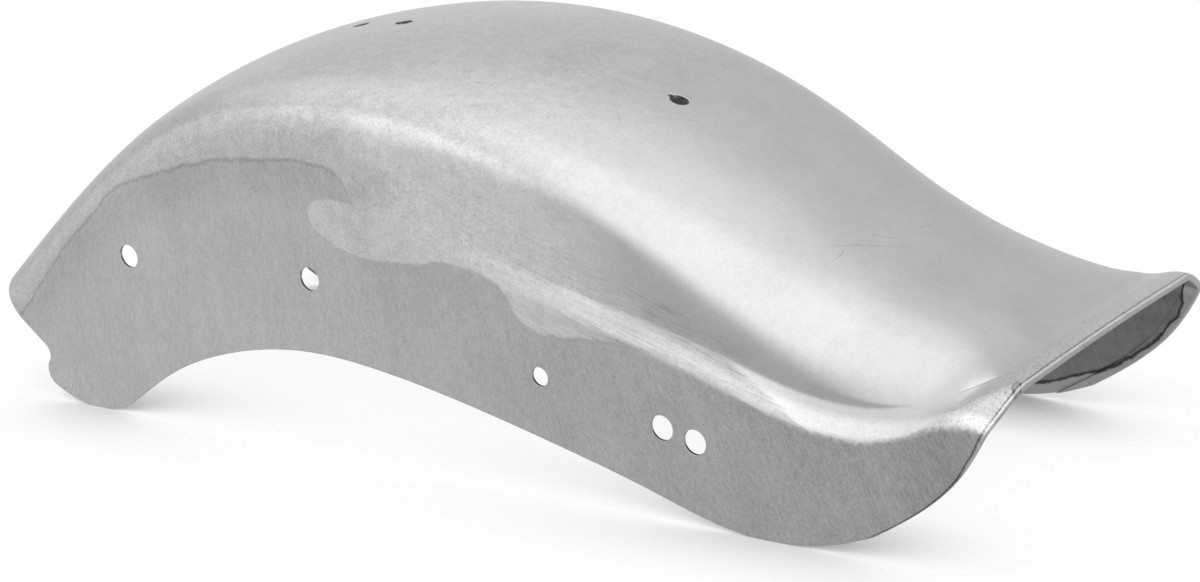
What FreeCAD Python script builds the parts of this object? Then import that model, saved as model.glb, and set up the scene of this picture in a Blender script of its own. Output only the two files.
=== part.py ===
"""Rear fender of a motorcycle: one pressed steel sheet with a folded hem round the tail."""

import math
import os

import FreeCAD, Part

# Driving sizes, in millimetres and degrees. Stations run along the floor, towards the tail.
HALF_WIDTH = 108.0
SHEET = 1.5
HEM_WIDTH = 9.0
HEM_GAP = 0.4
# The crown's drop is measured at this distance from its middle line.
DROP_AT = 85.0
# The sheet is formed longer than its outline by this much, and then trimmed.
TRIM = 20.0

# Height of the crown's middle line over the floor: (station, height).
CROWN_HEIGHT = [
    (-110, 51), (-60, 94.6), (-10, 135.8), (40, 170.9), (90, 194.4), (140, 204.8),
    (190, 207.3), (240, 203.9), (290, 193.9), (340, 177.2), (390, 154), (440, 127.3),
    (475, 112), (500, 104), (525, 96.8), (541, 91.2), (550, 88.7), (553.5, 88),
    (557, 88), (562, 88.9), (567, 89.5), (574, 89.3),
]
# How far the crown has dropped at DROP_AT from its middle line.
CROWN_DROP = [
    (-110, 9), (100, 9), (300, 6.9), (370, 6.6), (430, 7.6), (480, 7), (520, 5.4),
    (545, 2.4), (574, 1.3),
]
# How far from its corner the rounding of the shoulder begins.
SHOULDER_REACH = [
    (-110, 22.6), (200, 22.6), (380, 24), (430, 32), (480, 40), (505, 40), (525, 38),
    (541, 28), (552, 12), (574, 5),
]
# How much of the side's height the rounding may take.
ROUND_SHARE = [(-110, 0.62), (320, 0.62), (380, 0.66), (480, 0.82), (520, 0.9), (574, 0.9)]
# How far the side leans in, from its foot up to the shoulder's corner.
SIDE_LEAN = [
    (-110, 0), (380, 0), (440, 0), (475, 1), (500, 4), (520, 8), (535, 11), (545, 8),
    (552, 3), (574, 0),
]
# How far the crown's foot stands inside the skirt's plane.
FOOT_INSET = [
    (-110, 0), (235, 0), (290, 2.6), (346, 5.2), (392, 8), (430, 9.5), (497, 9.8),
    (510, 10), (522, 11), (535, 13.5), (545, 18.5), (550, 26), (553, 34), (557, 41.5),
    (574, 44),
]
# Height of the crown's foot, where the ledge begins.
FOOT_HEIGHT = [
    (190, 155), (240, 141), (290, 124), (346, 109.5), (392, 97), (423, 87), (444, 79.8),
    (461, 75.2), (479, 72.4), (497, 71.5), (510, 72.6), (522, 74.8), (535, 78.6),
    (545, 82.4), (550, 84), (553, 84.9), (557, 86.3), (562, 88), (574, 88.6),
]
# Height of the skirt's top edge, where the ledge ends.
EDGE_HEIGHT = [
    (190, 141.2), (212, 137.5), (240, 128), (265, 118.5), (286, 111.8), (314, 104.5),
    (346, 96), (392, 84), (423, 74.3), (444, 67.3), (461, 62.7), (479, 60), (497, 59.3),
    (513, 60.8), (526, 64.2), (541, 69.5), (552, 74), (559, 75.5), (566, 75),
    (574, 73.5),
]
# Ridge of the raised band that the ledge turns into round the tail.
RIDGE_INSET = [
    (497, 6.4), (513, 6.5), (541, 7), (553, 8.5), (558, 11), (563, 16), (568, 20.5),
    (574, 23.5),
]
RIDGE_HEIGHT = [
    (497, 67.2), (513, 68.4), (526, 71), (541, 76), (553, 81), (558, 83.2), (563, 85.8),
    (568, 87.6), (574, 88.4),
]
# How far the rim stands forward of the tail, in side view: (height, setback).
RIM_SETBACK = [
    (-20, 124), (-10, 106.5), (0, 89.3), (8, 75.5), (17, 60), (26.2, 45.7), (33.3, 36.1),
    (42, 26.5), (50, 19.3), (58, 14.3), (63, 11), (68.5, 8.2), (75, 5), (82, 2.2),
    (87, 0.4), (92, 0), (120, 0),
]
TAIL_STATION = CROWN_HEIGHT[-1][0]
# Sections across the fender, from the front edge to the hem.
SECTION_STATIONS = [
    -110, -80, -50, -20, 10, 40, 70, 100, 130, 160, 190, 220, 250, 280, 310, 340, 368,
    394, 417, 438, 455, 470, 483, 494, 504, 513, 521, 528, 534, 539.5, 544.5, 549,
    553, 557, 561,
]
# The ledge's ridge turns into the band's ridge between these stations.
BAND_BLEND = (497.0, 520.0)
# The band's edge is rounded more from this station to the tail.
BAND_ROUNDING_STATION = 545.0
# In front of this station the sections lean back, square to the rising crown.
FRONT_LEAN_STATION = 200.0
# Sections of the hem, by their distance from the rim.
HEM_SECTIONS = [HEM_WIDTH, 6.0, 3.0, 1.9]
FOLD_INSIDE = 1.5

# In front of the ledge: depth of the crown's foot, and the skirt's top edge below it.
FRONT_FOOT_DEPTH = 51.2
FRONT_LEDGE_HEIGHT = 13.8
LEDGE_STATION = 190.0
# Between these stations the sections lean over to run along the rim.
SKIRT_LEAN = (340.0, 535.0)
TAIL_LEAN = (530.0, 562.0)
TAIL_SETBACK = 14.3
# Spacing that the points of the side keep where the side has no height.
SIDE_SPREAD = 0.9

# Holes: (station, height, diameter) in both skirts, (station, diameter, notch) on the crown.
SKIRT_HOLES = [
    (37.7, 93.9, 13.0), (170.1, 96.9, 13.0), (317.2, 64.3, 10.0), (389.4, 48.5, 13.0),
    (408.3, 44.1, 13.0),
]
CROWN_HOLES = [(128.4, 9.0, 0.0), (159.3, 9.5, 1.0), (337.1, 10.0, 1.7)]

# The front is cut straight, at this angle to the floor, up from the notch.
FRONT_CUT_ANGLE = 39.0
# Notch and nose of the front foot in side view: (station, height).
NOTCH = [(-40.5, 31.9), (-38.2, 27.0), (-40.6, 21.5)]
NOSE_MIDDLE = (-41.4, 14.5)
# The front foot is a round arc that touches the floor, between two stations.
FRONT_FOOT_CONTACT = -4.0
FRONT_FOOT_RADIUS = 66.0
FRONT_FOOT_ENDS = (-36.0, 20.6)
# Arch over the axle between the feet, in side view: (station, height).
ARCH = [
    (55.0, 27.1), (104.7, 47.1), (165.0, 55.9), (210.0, 52.6), (260.1, 43.9),
    (320.7, 30.0), (381.2, 13.8), (420.0, 2.9),
]
# The rear foot curves up from the floor and meets the rim at this slope, in degrees.
REAR_FOOT_CONTACT = 449.0
REAR_FOOT = [(474.5, 2.6), (494.6, 8.2)]
REAR_FOOT_SLOPE = 20.8


def value_at(line, station):
    """Read a smooth line of (station, value) points at one station."""
    if station <= line[0][0]:
        first, second = line[0], line[1]
        rise = (second[1] - first[1]) / (second[0] - first[0])
        return first[1] + rise * (station - first[0])
    if station >= line[-1][0]:
        first, second = line[-2], line[-1]
        rise = (second[1] - first[1]) / (second[0] - first[0])
        return second[1] + rise * (station - second[0])
    rises = []
    for first, second in zip(line, line[1:]):
        rises.append((second[1] - first[1]) / (second[0] - first[0]))
    slopes = [rises[0]]
    for index in range(1, len(line) - 1):
        before = line[index][0] - line[index - 1][0]
        after = line[index + 1][0] - line[index][0]
        mixed = (rises[index - 1] * after + rises[index] * before) / (before + after)
        slopes.append(mixed)
    slopes.append(rises[-1])
    index = max(k for k in range(len(line) - 1) if line[k][0] <= station)
    span = line[index + 1][0] - line[index][0]
    t = (station - line[index][0]) / span
    start = (2 * t**3 - 3 * t**2 + 1) * line[index][1]
    start += (t**3 - 2 * t**2 + t) * slopes[index] * span
    end = (3 * t**2 - 2 * t**3) * line[index + 1][1]
    end += (t**3 - t**2) * slopes[index + 1] * span
    return start + end


def ease(value, low, high):
    """Rise smoothly from 0 at low to 1 at high."""
    t = min(max((value - low) / (high - low), 0.0), 1.0)
    return t * t * (3 - 2 * t)


def between(first, second, share):
    """Point on the straight line between two points of a section."""
    return tuple(a + (b - a) * share for a, b in zip(first, second))


def section_depths(station):
    """Half a section as (distance from the middle, depth below the crown) points."""
    crown = value_at(CROWN_HEIGHT, station)
    inset = max(0.0, value_at(FOOT_INSET, station))
    foot_side = HALF_WIDTH - inset
    drop = value_at(CROWN_DROP, station)
    reach = value_at(SHOULDER_REACH, station)
    foot_depth = FRONT_FOOT_DEPTH
    edge_depth = foot_depth + FRONT_LEDGE_HEIGHT
    if station >= LEDGE_STATION:
        edge_depth = crown - value_at(EDGE_HEIGHT, station)
        foot_depth = crown - value_at(FOOT_HEIGHT, station)

    # The crown is a flat parabola out to the shoulder.
    top_side = foot_side - max(0.0, value_at(SIDE_LEAN, station))
    shoulder_side = top_side - reach
    points = []
    for share in (0.0, 0.3, 0.55, 0.78):
        side = shoulder_side * share
        points.append((side, drop * (side / DROP_AT) ** 2))

    # The shoulder is a rounding between the crown and the steep side.
    shoulder = (shoulder_side, drop * (shoulder_side / DROP_AT) ** 2)
    fall = 2 * drop * shoulder_side / DROP_AT**2
    corner = (top_side, shoulder[1] + fall * reach)
    foot_depth = max(foot_depth, corner[1] + 0.1)
    foot = (foot_side, foot_depth)
    share = min(reach / (foot_depth - corner[1]), value_at(ROUND_SHARE, station))
    side_start = between(corner, foot, share)
    pull = 0.585
    first_pull = between(shoulder, corner, pull)
    second_pull = between(side_start, corner, pull)
    for t in (0.0, 0.25, 0.5, 0.75, 1.0):
        point = []
        for axis in (0, 1):
            value = (1 - t) ** 3 * shoulder[axis]
            value += 3 * t * (1 - t) ** 2 * first_pull[axis]
            value += 3 * t**2 * (1 - t) * second_pull[axis]
            value += t**3 * side_start[axis]
            point.append(value)
        points.append(tuple(point))

    # The side runs down to the foot. Where it has no height, its points lie side by side.
    curl_share = min(6.0 / math.dist(side_start, foot), 0.5)
    curl = between(foot, side_start, curl_share)
    points += [between(side_start, curl, 0.5), curl, foot]
    flat = 1.0 - ease(foot_depth - corner[1], 0.5, 8.0)
    for step in range(8):
        side, depth = points[4 + step]
        points[4 + step] = (side + flat * step * SIDE_SPREAD, depth)
    foot = points[-1]

    # The ledge runs out to the skirt, and round the tail it is the raised band.
    edge = (HALF_WIDTH, edge_depth)
    ledge_ridge = between(foot, edge, 0.35)
    band_ridge = (
        HALF_WIDTH - value_at(RIDGE_INSET, station),
        crown - value_at(RIDGE_HEIGHT, station),
    )
    ridge = between(ledge_ridge, band_ridge, ease(station, *BAND_BLEND))
    points.append(between(foot, ridge, 0.5))
    points.append(ridge)
    points.append(between(ridge, edge, 0.5))

    # The skirt's top edge is rounded a little, then the skirt is flat.
    tail_share = ease(station, BAND_ROUNDING_STATION, TAIL_STATION)
    length = math.dist(ridge, edge)
    rounding = min(3.5 + 3.5 * tail_share, 0.45 * length)
    points.append(between(edge, ridge, rounding / length))
    points.append(edge)
    points.append((HALF_WIDTH, edge_depth + rounding + 1.5 * tail_share))
    return points


def lean_back(station, height):
    """How far a section bends forward at this height, to run along the rim."""
    setback = value_at(RIM_SETBACK, height)
    low, high = SKIRT_LEAN
    skirt_share = min(max((station - low) / (high - low), 0.0), 1.0)
    tail_share = ease(station, *TAIL_LEAN)
    tail_part = min(setback, TAIL_SETBACK)
    return tail_share * tail_part + skirt_share * max(setback - TAIL_SETBACK, 0.0)


def half_section(station):
    """Half a section in space, from the crown's middle to below the floor."""
    crown = value_at(CROWN_HEIGHT, station)
    tilt = 0.0
    if station < FRONT_LEAN_STATION:
        rise = value_at(CROWN_HEIGHT, station + 8) - value_at(CROWN_HEIGHT, station - 8)
        tilt = max(0.0, math.atan2(rise, 16.0))
    points = section_depths(station)
    last = points[-1][1]
    bottom = (crown + TRIM) / math.cos(tilt)
    for share in (0.1, 0.24, 0.4, 0.56, 0.7, 0.85, 1.0):
        points.append((HALF_WIDTH, last + (bottom - last) * share))
    placed = []
    for side, depth in points:
        x = station + depth * math.sin(tilt)
        z = crown - depth * math.cos(tilt)
        x -= lean_back(station, z)
        placed.append(FreeCAD.Vector(x, side, z))
    return placed


def mirrored(half):
    """Whole section from one skirt's bottom over the crown to the other's."""
    other = [FreeCAD.Vector(p.x, -p.y, p.z) for p in reversed(half[1:])]
    return other + half


def across(row, column):
    """Steps to the points before and after this one along its section."""
    before = row[column] - row[column - 1] if column > 0 else None
    after = row[column + 1] - row[column] if column < len(row) - 1 else None
    if before is None:
        before = after
    if after is None:
        after = before
    return before, after


def inward_steps(rows):
    """Step into the fender, at every point, that thickens the sheet by one."""
    steps = []
    for index, row in enumerate(rows):
        ahead = rows[min(index + 1, len(rows) - 1)]
        behind = rows[max(index - 1, 0)]
        line = []
        for column in range(len(row)):
            along = ahead[column] - behind[column]
            before, after = across(row, column)
            first = along.cross(before).normalize()
            second = along.cross(after).normalize()
            both = first + second
            line.append(both * (-1.0 / (1.0 + first.dot(second))))
        steps.append(line)
    return steps


def lowered(rows, steps, depth, index):
    """One section moved into the fender by a depth."""
    return [point + step * depth for point, step in zip(rows[index], steps[index])]


def clamped_knots(count, degree):
    """Knots and their counts for a curve that starts and ends on its end points."""
    inner = count - degree - 1
    knots = [float(k) for k in range(inner + 2)]
    counts = [degree + 1] + [1] * inner + [degree + 1]
    return knots, counts


def smooth_faces(rows):
    """Smooth faces that follow a net of sections, one on each side of the middle."""
    degree_along = min(3, len(rows) - 1)
    knots_along, counts_along = clamped_knots(len(rows), degree_along)
    knots_across, counts_across = clamped_knots(len(rows[0]), 3)
    surface = Part.BSplineSurface()
    surface.buildFromPolesMultsKnots(
        rows, counts_along, counts_across, knots_along, knots_across, False, False,
        degree_along, 3,
    )
    middle = knots_across[-1] / 2
    faces = []
    for low, high in ((knots_across[0], middle), (middle, knots_across[-1])):
        half = surface.copy()
        half.segment(knots_along[0], knots_along[-1], low, high)
        faces.append(half.toShape())
    return faces


def end_face(faces, side):
    """Flat face that closes the sheet below the floor, on one side."""
    edges = []
    for face in faces:
        for edge in face.Edges:
            ends = edge.BoundBox
            flat = abs(ends.ZMax + TRIM) < 0.01 and abs(ends.ZMin + TRIM) < 0.01
            if flat and ends.YMin * side > 0:
                edges.append(edge)
    loop = Part.Wire(Part.__sortEdges__(edges))
    return Part.Face(loop)


def pressed_sheet():
    """The whole sheet with its hem, still too long at the front and the bottom."""
    hem_stations = [TAIL_STATION - distance for distance in HEM_SECTIONS]
    stations = SECTION_STATIONS + hem_stations + [TAIL_STATION]
    rows = [mirrored(half_section(station)) for station in stations]
    steps = inward_steps(rows)
    rim = len(rows) - 1
    hem = list(range(rim - 1, rim - 1 - len(hem_stations), -1))
    folded = 2 * SHEET + HEM_GAP
    under_gap = SHEET + HEM_GAP

    outside = list(rows)
    outside.append(lowered(rows, steps, folded / 2, rim))
    outside.append(lowered(rows, steps, folded, rim))
    for index in hem:
        outside.append(lowered(rows, steps, folded, index))

    inside = [lowered(rows, steps, under_gap, index) for index in reversed(hem)]
    crease = mirrored(half_section(TAIL_STATION - FOLD_INSIDE))
    middle = SHEET + HEM_GAP / 2
    inside.append([point + step * middle for point, step in zip(crease, steps[rim - 1])])
    for index in range(rim - 1, -1, -1):
        inside.append(lowered(rows, steps, SHEET, index))

    nets = [outside, [outside[-1], inside[0]], inside, [inside[-1], outside[0]]]
    faces = [face for net in nets for face in smooth_faces(net)]
    faces += [end_face(faces, side) for side in (1, -1)]
    shell = Part.makeShell(faces)
    shell.sewShape()
    return Part.makeSolid(shell)


def cut_height(station):
    """Height of the straight front cut at a station."""
    rise = math.tan(math.radians(FRONT_CUT_ANGLE))
    return NOTCH[0][1] + (NOTCH[0][0] - station) * rise


def front_station():
    """Station of the front edge's middle, where the cut meets the crown."""
    low, high = CROWN_HEIGHT[0][0], NOTCH[0][0]
    for _ in range(50):
        middle = (low + high) / 2
        if value_at(CROWN_HEIGHT, middle) > cut_height(middle):
            high = middle
        else:
            low = middle
    return low


def foot_height(station, contact, radius):
    """Height of a round foot that touches the floor at its contact."""
    return radius - math.sqrt(radius**2 - (station - contact) ** 2)


def side_points(points):
    """Points of the side view, placed outside the far skirt."""
    return [FreeCAD.Vector(x, -HALF_WIDTH - TRIM, z) for x, z in points]


def side_outline():
    """Everything that stays of the sheet in side view, as one block."""
    start = CROWN_HEIGHT[0][0] - 2 * TRIM
    corner = (start, cut_height(start))
    toe, heel = FRONT_FOOT_ENDS
    toe = (toe, foot_height(toe, FRONT_FOOT_CONTACT, FRONT_FOOT_RADIUS))
    heel = (heel, foot_height(heel, FRONT_FOOT_CONTACT, FRONT_FOOT_RADIUS))
    rear_contact = (REAR_FOOT_CONTACT, 0.0)
    slope = math.radians(REAR_FOOT_SLOPE)
    last = TAIL_STATION + 2 * TRIM
    rear_end = (last, REAR_FOOT[-1][1] + (last - REAR_FOOT[-1][0]) * math.tan(slope))

    edges = [Part.makeLine(*side_points([corner, NOTCH[0]]))]
    for arc in (NOTCH, [NOTCH[-1], NOSE_MIDDLE, toe], [toe, (FRONT_FOOT_CONTACT, 0.0), heel]):
        edges.append(Part.Arc(*side_points(arc)).toShape())
    arch_points = side_points([heel] + ARCH + [rear_contact])
    arch = Part.BSplineCurve()
    arch.interpolate(
        arch_points,
        InitialTangent=arch_points[1] - arch_points[0],
        FinalTangent=FreeCAD.Vector(1, 0, 0),
    )
    edges.append(arch.toShape())
    rear_foot = Part.BSplineCurve()
    rear_foot.interpolate(
        side_points([rear_contact] + REAR_FOOT),
        InitialTangent=FreeCAD.Vector(1, 0, 0),
        FinalTangent=FreeCAD.Vector(math.cos(slope), 0, math.sin(slope)),
    )
    edges.append(rear_foot.toShape())
    highest = max(height for _, height in CROWN_HEIGHT) + 2 * TRIM
    corners = [REAR_FOOT[-1], rear_end, (last, highest), (start, highest), corner]
    for first, second in zip(corners, corners[1:]):
        edges.append(Part.makeLine(*side_points([first, second])))
    face = Part.Face(Part.Wire(edges))
    return face.extrude(FreeCAD.Vector(0, 2 * (HALF_WIDTH + TRIM), 0))


def skirt_hole(station, height, diameter):
    """Drill through both skirts."""
    start = FreeCAD.Vector(station, -HALF_WIDTH - TRIM, height)
    across_both = FreeCAD.Vector(0, 1, 0)
    return Part.makeCylinder(diameter / 2, 2 * (HALF_WIDTH + TRIM), start, across_both)


def crown_hole(station, diameter, notch):
    """Drill square to the crown, with a small round notch on its front side."""
    height = value_at(CROWN_HEIGHT, station)
    rise = value_at(CROWN_HEIGHT, station + 8) - value_at(CROWN_HEIGHT, station - 8)
    tilt = math.atan2(rise, 16.0)
    axis = FreeCAD.Vector(-math.sin(tilt), 0, math.cos(tilt))
    forward = FreeCAD.Vector(-math.cos(tilt), 0, -math.sin(tilt))
    start = FreeCAD.Vector(station, 0, height) - axis * TRIM
    drill = Part.makeCylinder(diameter / 2, 2 * TRIM, start, axis)
    if notch:
        middle = start + forward * (diameter / 2)
        drill = drill.fuse(Part.makeCylinder(notch, 2 * TRIM, middle, axis))
    return drill


def make_fender():
    """Press, trim and drill the fender, and stand it over the origin."""
    fender = pressed_sheet().common(side_outline())
    drills = [skirt_hole(*hole) for hole in SKIRT_HOLES]
    drills += [crown_hole(*hole) for hole in CROWN_HOLES]
    fender = fender.cut(Part.makeCompound(drills))
    fender = fender.Solids[0]
    fender.translate(FreeCAD.Vector(-(front_station() + TAIL_STATION) / 2, 0, 0))
    return fender


fender_shell = make_fender()
os.makedirs("parts", exist_ok=True)
fender_shell.exportStep("parts/fender_shell.step")
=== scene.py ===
"""Looks of a bare steel rear fender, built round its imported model."""

import logging
import math
from dataclasses import dataclass
from enum import Enum

import bpy
import numpy as np
from mathutils import Matrix, Vector


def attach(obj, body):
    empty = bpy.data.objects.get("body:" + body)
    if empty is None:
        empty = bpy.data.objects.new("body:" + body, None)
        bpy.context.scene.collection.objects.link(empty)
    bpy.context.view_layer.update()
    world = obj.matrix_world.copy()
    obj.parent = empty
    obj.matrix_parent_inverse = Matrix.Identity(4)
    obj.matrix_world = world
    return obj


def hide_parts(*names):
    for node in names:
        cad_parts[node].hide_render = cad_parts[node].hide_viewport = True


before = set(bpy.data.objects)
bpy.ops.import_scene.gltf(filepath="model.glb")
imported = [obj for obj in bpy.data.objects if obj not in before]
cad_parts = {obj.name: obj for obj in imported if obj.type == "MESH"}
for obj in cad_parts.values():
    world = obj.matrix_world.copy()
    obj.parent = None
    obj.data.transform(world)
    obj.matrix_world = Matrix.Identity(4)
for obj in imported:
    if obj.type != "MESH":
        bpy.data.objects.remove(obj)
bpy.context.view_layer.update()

log = logging.getLogger("fender")

MM = 0.001
TINY = 1e-9
Point = tuple[float, float]
Line = tuple[Point, ...]


def value_at(line: Line, station: float) -> float:
    """Read a smooth line at one station.

    Args:
        line: (station, value) points in rising order.
        station: where to read it.

    Returns:
        The value there, carried on straight beyond the ends.
    """
    rises = [(b[1] - a[1]) / (b[0] - a[0]) for a, b in zip(line, line[1:])]
    if station <= line[0][0]:
        return line[0][1] + rises[0] * (station - line[0][0])
    if station >= line[-1][0]:
        return line[-1][1] + rises[-1] * (station - line[-1][0])
    slopes = [rises[0]]
    for index in range(1, len(line) - 1):
        before = line[index][0] - line[index - 1][0]
        after = line[index + 1][0] - line[index][0]
        slopes.append((rises[index - 1] * after + rises[index] * before) / (before + after))
    slopes.append(rises[-1])
    index = max(k for k in range(len(line) - 1) if line[k][0] <= station)
    span = line[index + 1][0] - line[index][0]
    t = (station - line[index][0]) / span
    start = (2 * t**3 - 3 * t**2 + 1) * line[index][1]
    start += (t**3 - 2 * t**2 + t) * slopes[index] * span
    end = (3 * t**2 - 2 * t**3) * line[index + 1][1]
    end += (t**3 - t**2) * slopes[index + 1] * span
    return start + end


def ease(value: float, low: float, high: float) -> float:
    """Rise smoothly from 0 at low to 1 at high."""
    t = min(max((value - low) / (high - low), 0.0), 1.0)
    return t * t * (3 - 2 * t)


def between(first: Point, second: Point, share: float) -> Point:
    """Point on the straight line between two points."""
    run, rise = second[0] - first[0], second[1] - first[1]
    return (first[0] + run * share, first[1] + rise * share)


@dataclass(frozen=True)
class Shape:
    """Sizes of the pressed sheet, in millimetres, at stations from the front foot to the tail."""

    half_width: float = 108.0
    sheet: float = 1.5
    # The hem: the gap in its fold, and how far its sections and its inner fold lie from the rim.
    hem_gap: float = 0.4
    hem_sections: tuple[float, ...] = (9.0, 6.0, 3.0, 1.9)
    fold_inside: float = 1.5
    # Margin of the raw sheet, and of the block that trims it.
    trim: float = 20.0
    # Height of the crown's middle.
    crown: Line = (
        (-110, 51), (-60, 94.6), (-10, 135.8), (40, 170.9), (90, 194.4), (140, 204.8),
        (190, 207.3), (240, 203.9), (290, 193.9), (340, 177.2), (390, 154), (440, 127.3),
        (475, 112), (500, 104), (525, 96.8), (541, 91.2), (550, 88.7), (553.5, 88),
        (557, 88), (562, 88.9), (567, 89.5), (574, 89.3),
    )
    # How much lower the crown lies at a distance of drop_at from its middle.
    drop_at: float = 85.0
    drop: Line = (
        (-110, 9), (100, 9), (300, 6.9), (370, 6.6), (430, 7.6), (480, 7), (520, 5.4),
        (545, 2.4), (574, 1.3),
    )
    # How far in from the side's top the rounded shoulder starts.
    reach: Line = (
        (-110, 22.6), (200, 22.6), (380, 24), (430, 32), (480, 40), (505, 40), (525, 38),
        (541, 28), (552, 12), (574, 5),
    )
    # How far the side's top leans in over its foot.
    lean: Line = (
        (-110, 0), (380, 0), (440, 0), (475, 1), (500, 4), (520, 8), (535, 11), (545, 8),
        (552, 3), (574, 0),
    )
    # Largest share of the side's height that the shoulder takes up.
    round_share: Line = (
        (-110, 0.62), (320, 0.62), (380, 0.66), (480, 0.82), (520, 0.9), (574, 0.9),
    )
    # How far the side's foot stands in from the skirt.
    inset: Line = (
        (-110, 0), (235, 0), (290, 2.6), (346, 5.2), (392, 8), (430, 9.5), (497, 9.8),
        (510, 10), (522, 11), (535, 13.5), (545, 18.5), (550, 26), (553, 34), (557, 41.5),
        (574, 44),
    )
    # Height of the side's foot, where the ledge starts.
    foot: Line = (
        (190, 155), (240, 141), (290, 124), (346, 109.5), (392, 97), (423, 87),
        (444, 79.8), (461, 75.2), (479, 72.4), (497, 71.5), (510, 72.6), (522, 74.8),
        (535, 78.6), (545, 82.4), (550, 84), (553, 84.9), (557, 86.3), (562, 88),
        (574, 88.6),
    )
    # Height of the ledge's outer edge.
    edge: Line = (
        (190, 141.2), (212, 137.5), (240, 128), (265, 118.5), (286, 111.8), (314, 104.5),
        (346, 96), (392, 84), (423, 74.3), (444, 67.3), (461, 62.7), (479, 60),
        (497, 59.3), (513, 60.8), (526, 64.2), (541, 69.5), (552, 74), (559, 75.5),
        (566, 75), (574, 73.5),
    )
    # The raised band's ridge: how far in it lies, and its height.
    ridge_inset: Line = (
        (497, 6.4), (513, 6.5), (541, 7), (553, 8.5), (558, 11), (563, 16), (568, 20.5),
        (574, 23.5),
    )
    ridge: Line = (
        (497, 67.2), (513, 68.4), (526, 71), (541, 76), (553, 81), (558, 83.2),
        (563, 85.8), (568, 87.6), (574, 88.4),
    )
    # How far the slanted rim lies in front of the tail, by height.
    setback: Line = (
        (-20, 124), (-10, 106.5), (0, 89.3), (8, 75.5), (17, 60), (26.2, 45.7),
        (33.3, 36.1), (42, 26.5), (50, 19.3), (58, 14.3), (63, 11), (68.5, 8.2), (75, 5),
        (82, 2.2), (87, 0.4), (92, 0), (120, 0),
    )
    # Stations of the sections in front of the hem.
    stations: tuple[float, ...] = (
        -110, -80, -50, -20, 10, 40, 70, 100, 130, 160, 190, 220, 250, 280, 310, 340, 368,
        394, 417, 438, 455, 470, 483, 494, 504, 513, 521, 528, 534, 539.5, 544.5, 549,
        553, 557, 561,
    )
    # Shares and small sizes that place the points of one section.
    crown_shares: tuple[float, ...] = (0.0, 0.3, 0.55, 0.78)
    shoulder_shares: tuple[float, ...] = (0.0, 0.25, 0.5, 0.75, 1.0)
    shoulder_pull: float = 0.585
    least_wall: float = 0.1
    flat_wall: Point = (0.5, 8.0)
    curl: float = 6.0
    side_spread: float = 0.9
    ridge_share: float = 0.35
    rounding: float = 3.5
    rounding_limit: float = 0.45
    tail_rounding: float = 1.5
    skirt_shares: tuple[float, ...] = (0.1, 0.24, 0.4, 0.56, 0.7, 0.85, 1.0)
    # The side's foot and the ledge in front of the first station of their lines.
    front_foot_depth: float = 51.2
    front_ledge_height: float = 13.8
    ledge_station: float = 190.0
    # Where the ledge becomes the raised band, and where sections lean.
    band_blend: Point = (497.0, 520.0)
    band_rounding_station: float = 545.0
    front_lean_station: float = 200.0
    slope_reach: float = 8.0
    skirt_lean: Point = (340.0, 535.0)
    tail_lean: Point = (530.0, 562.0)
    tail_setback: float = 14.3

    @property
    def tail(self) -> float:
        """Station of the rim's middle."""
        return self.crown[-1][0]

    def crown_slope(self, station: float) -> float:
        """Work out the slope of the crown's middle line.

        Args:
            station: where to read it.

        Returns:
            The slope, in radians.
        """
        reach = self.slope_reach
        rise = value_at(self.crown, station + reach) - value_at(self.crown, station - reach)
        return math.atan2(rise, 2 * reach)


@dataclass(frozen=True)
class SideView:
    """Sizes of the outline and the holes in side view, in millimetres and degrees."""

    front_cut_angle: float = 39.0
    notch: Line = ((-40.5, 31.9), (-38.2, 27.0), (-40.6, 21.5))
    nose_middle: Point = (-41.4, 14.5)
    front_contact: float = -4.0
    front_radius: float = 66.0
    front_ends: Point = (-36.0, 20.6)
    arch: Line = (
        (55.0, 27.1), (104.7, 47.1), (165.0, 55.9), (210.0, 52.6), (260.1, 43.9),
        (320.7, 30.0), (381.2, 13.8), (420.0, 2.9),
    )
    rear_contact: float = 449.0
    rear_foot: Line = ((474.5, 2.6), (494.6, 8.2))
    rear_slope: float = 20.8
    strut_hole: float = 13.0
    small_hole: float = 10.0
    strut_holes: Line = ((37.7, 93.9), (170.1, 96.9), (389.4, 48.5), (408.3, 44.1))
    small_holes: Line = ((317.2, 64.3),)
    crown_holes: tuple[tuple[float, float, float], ...] = (
        (128.4, 9.0, 0.0), (159.3, 9.5, 1.0), (337.1, 10.0, 1.7),
    )
    halvings: int = 50

    def cut_height(self, station: float) -> float:
        """Height of the straight front cut at a station."""
        rise = math.tan(math.radians(self.front_cut_angle))
        return self.notch[0][1] + (self.notch[0][0] - station) * rise

    def front_station(self, shape: Shape) -> float:
        """Find the front edge's middle, where the cut meets the crown.

        Args:
            shape: the sheet's sizes.

        Returns:
            Its station.
        """
        low, high = shape.crown[0][0], self.notch[0][0]
        for _ in range(self.halvings):
            middle = (low + high) / 2
            if value_at(shape.crown, middle) > self.cut_height(middle):
                high = middle
            else:
                low = middle
        return low


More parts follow.
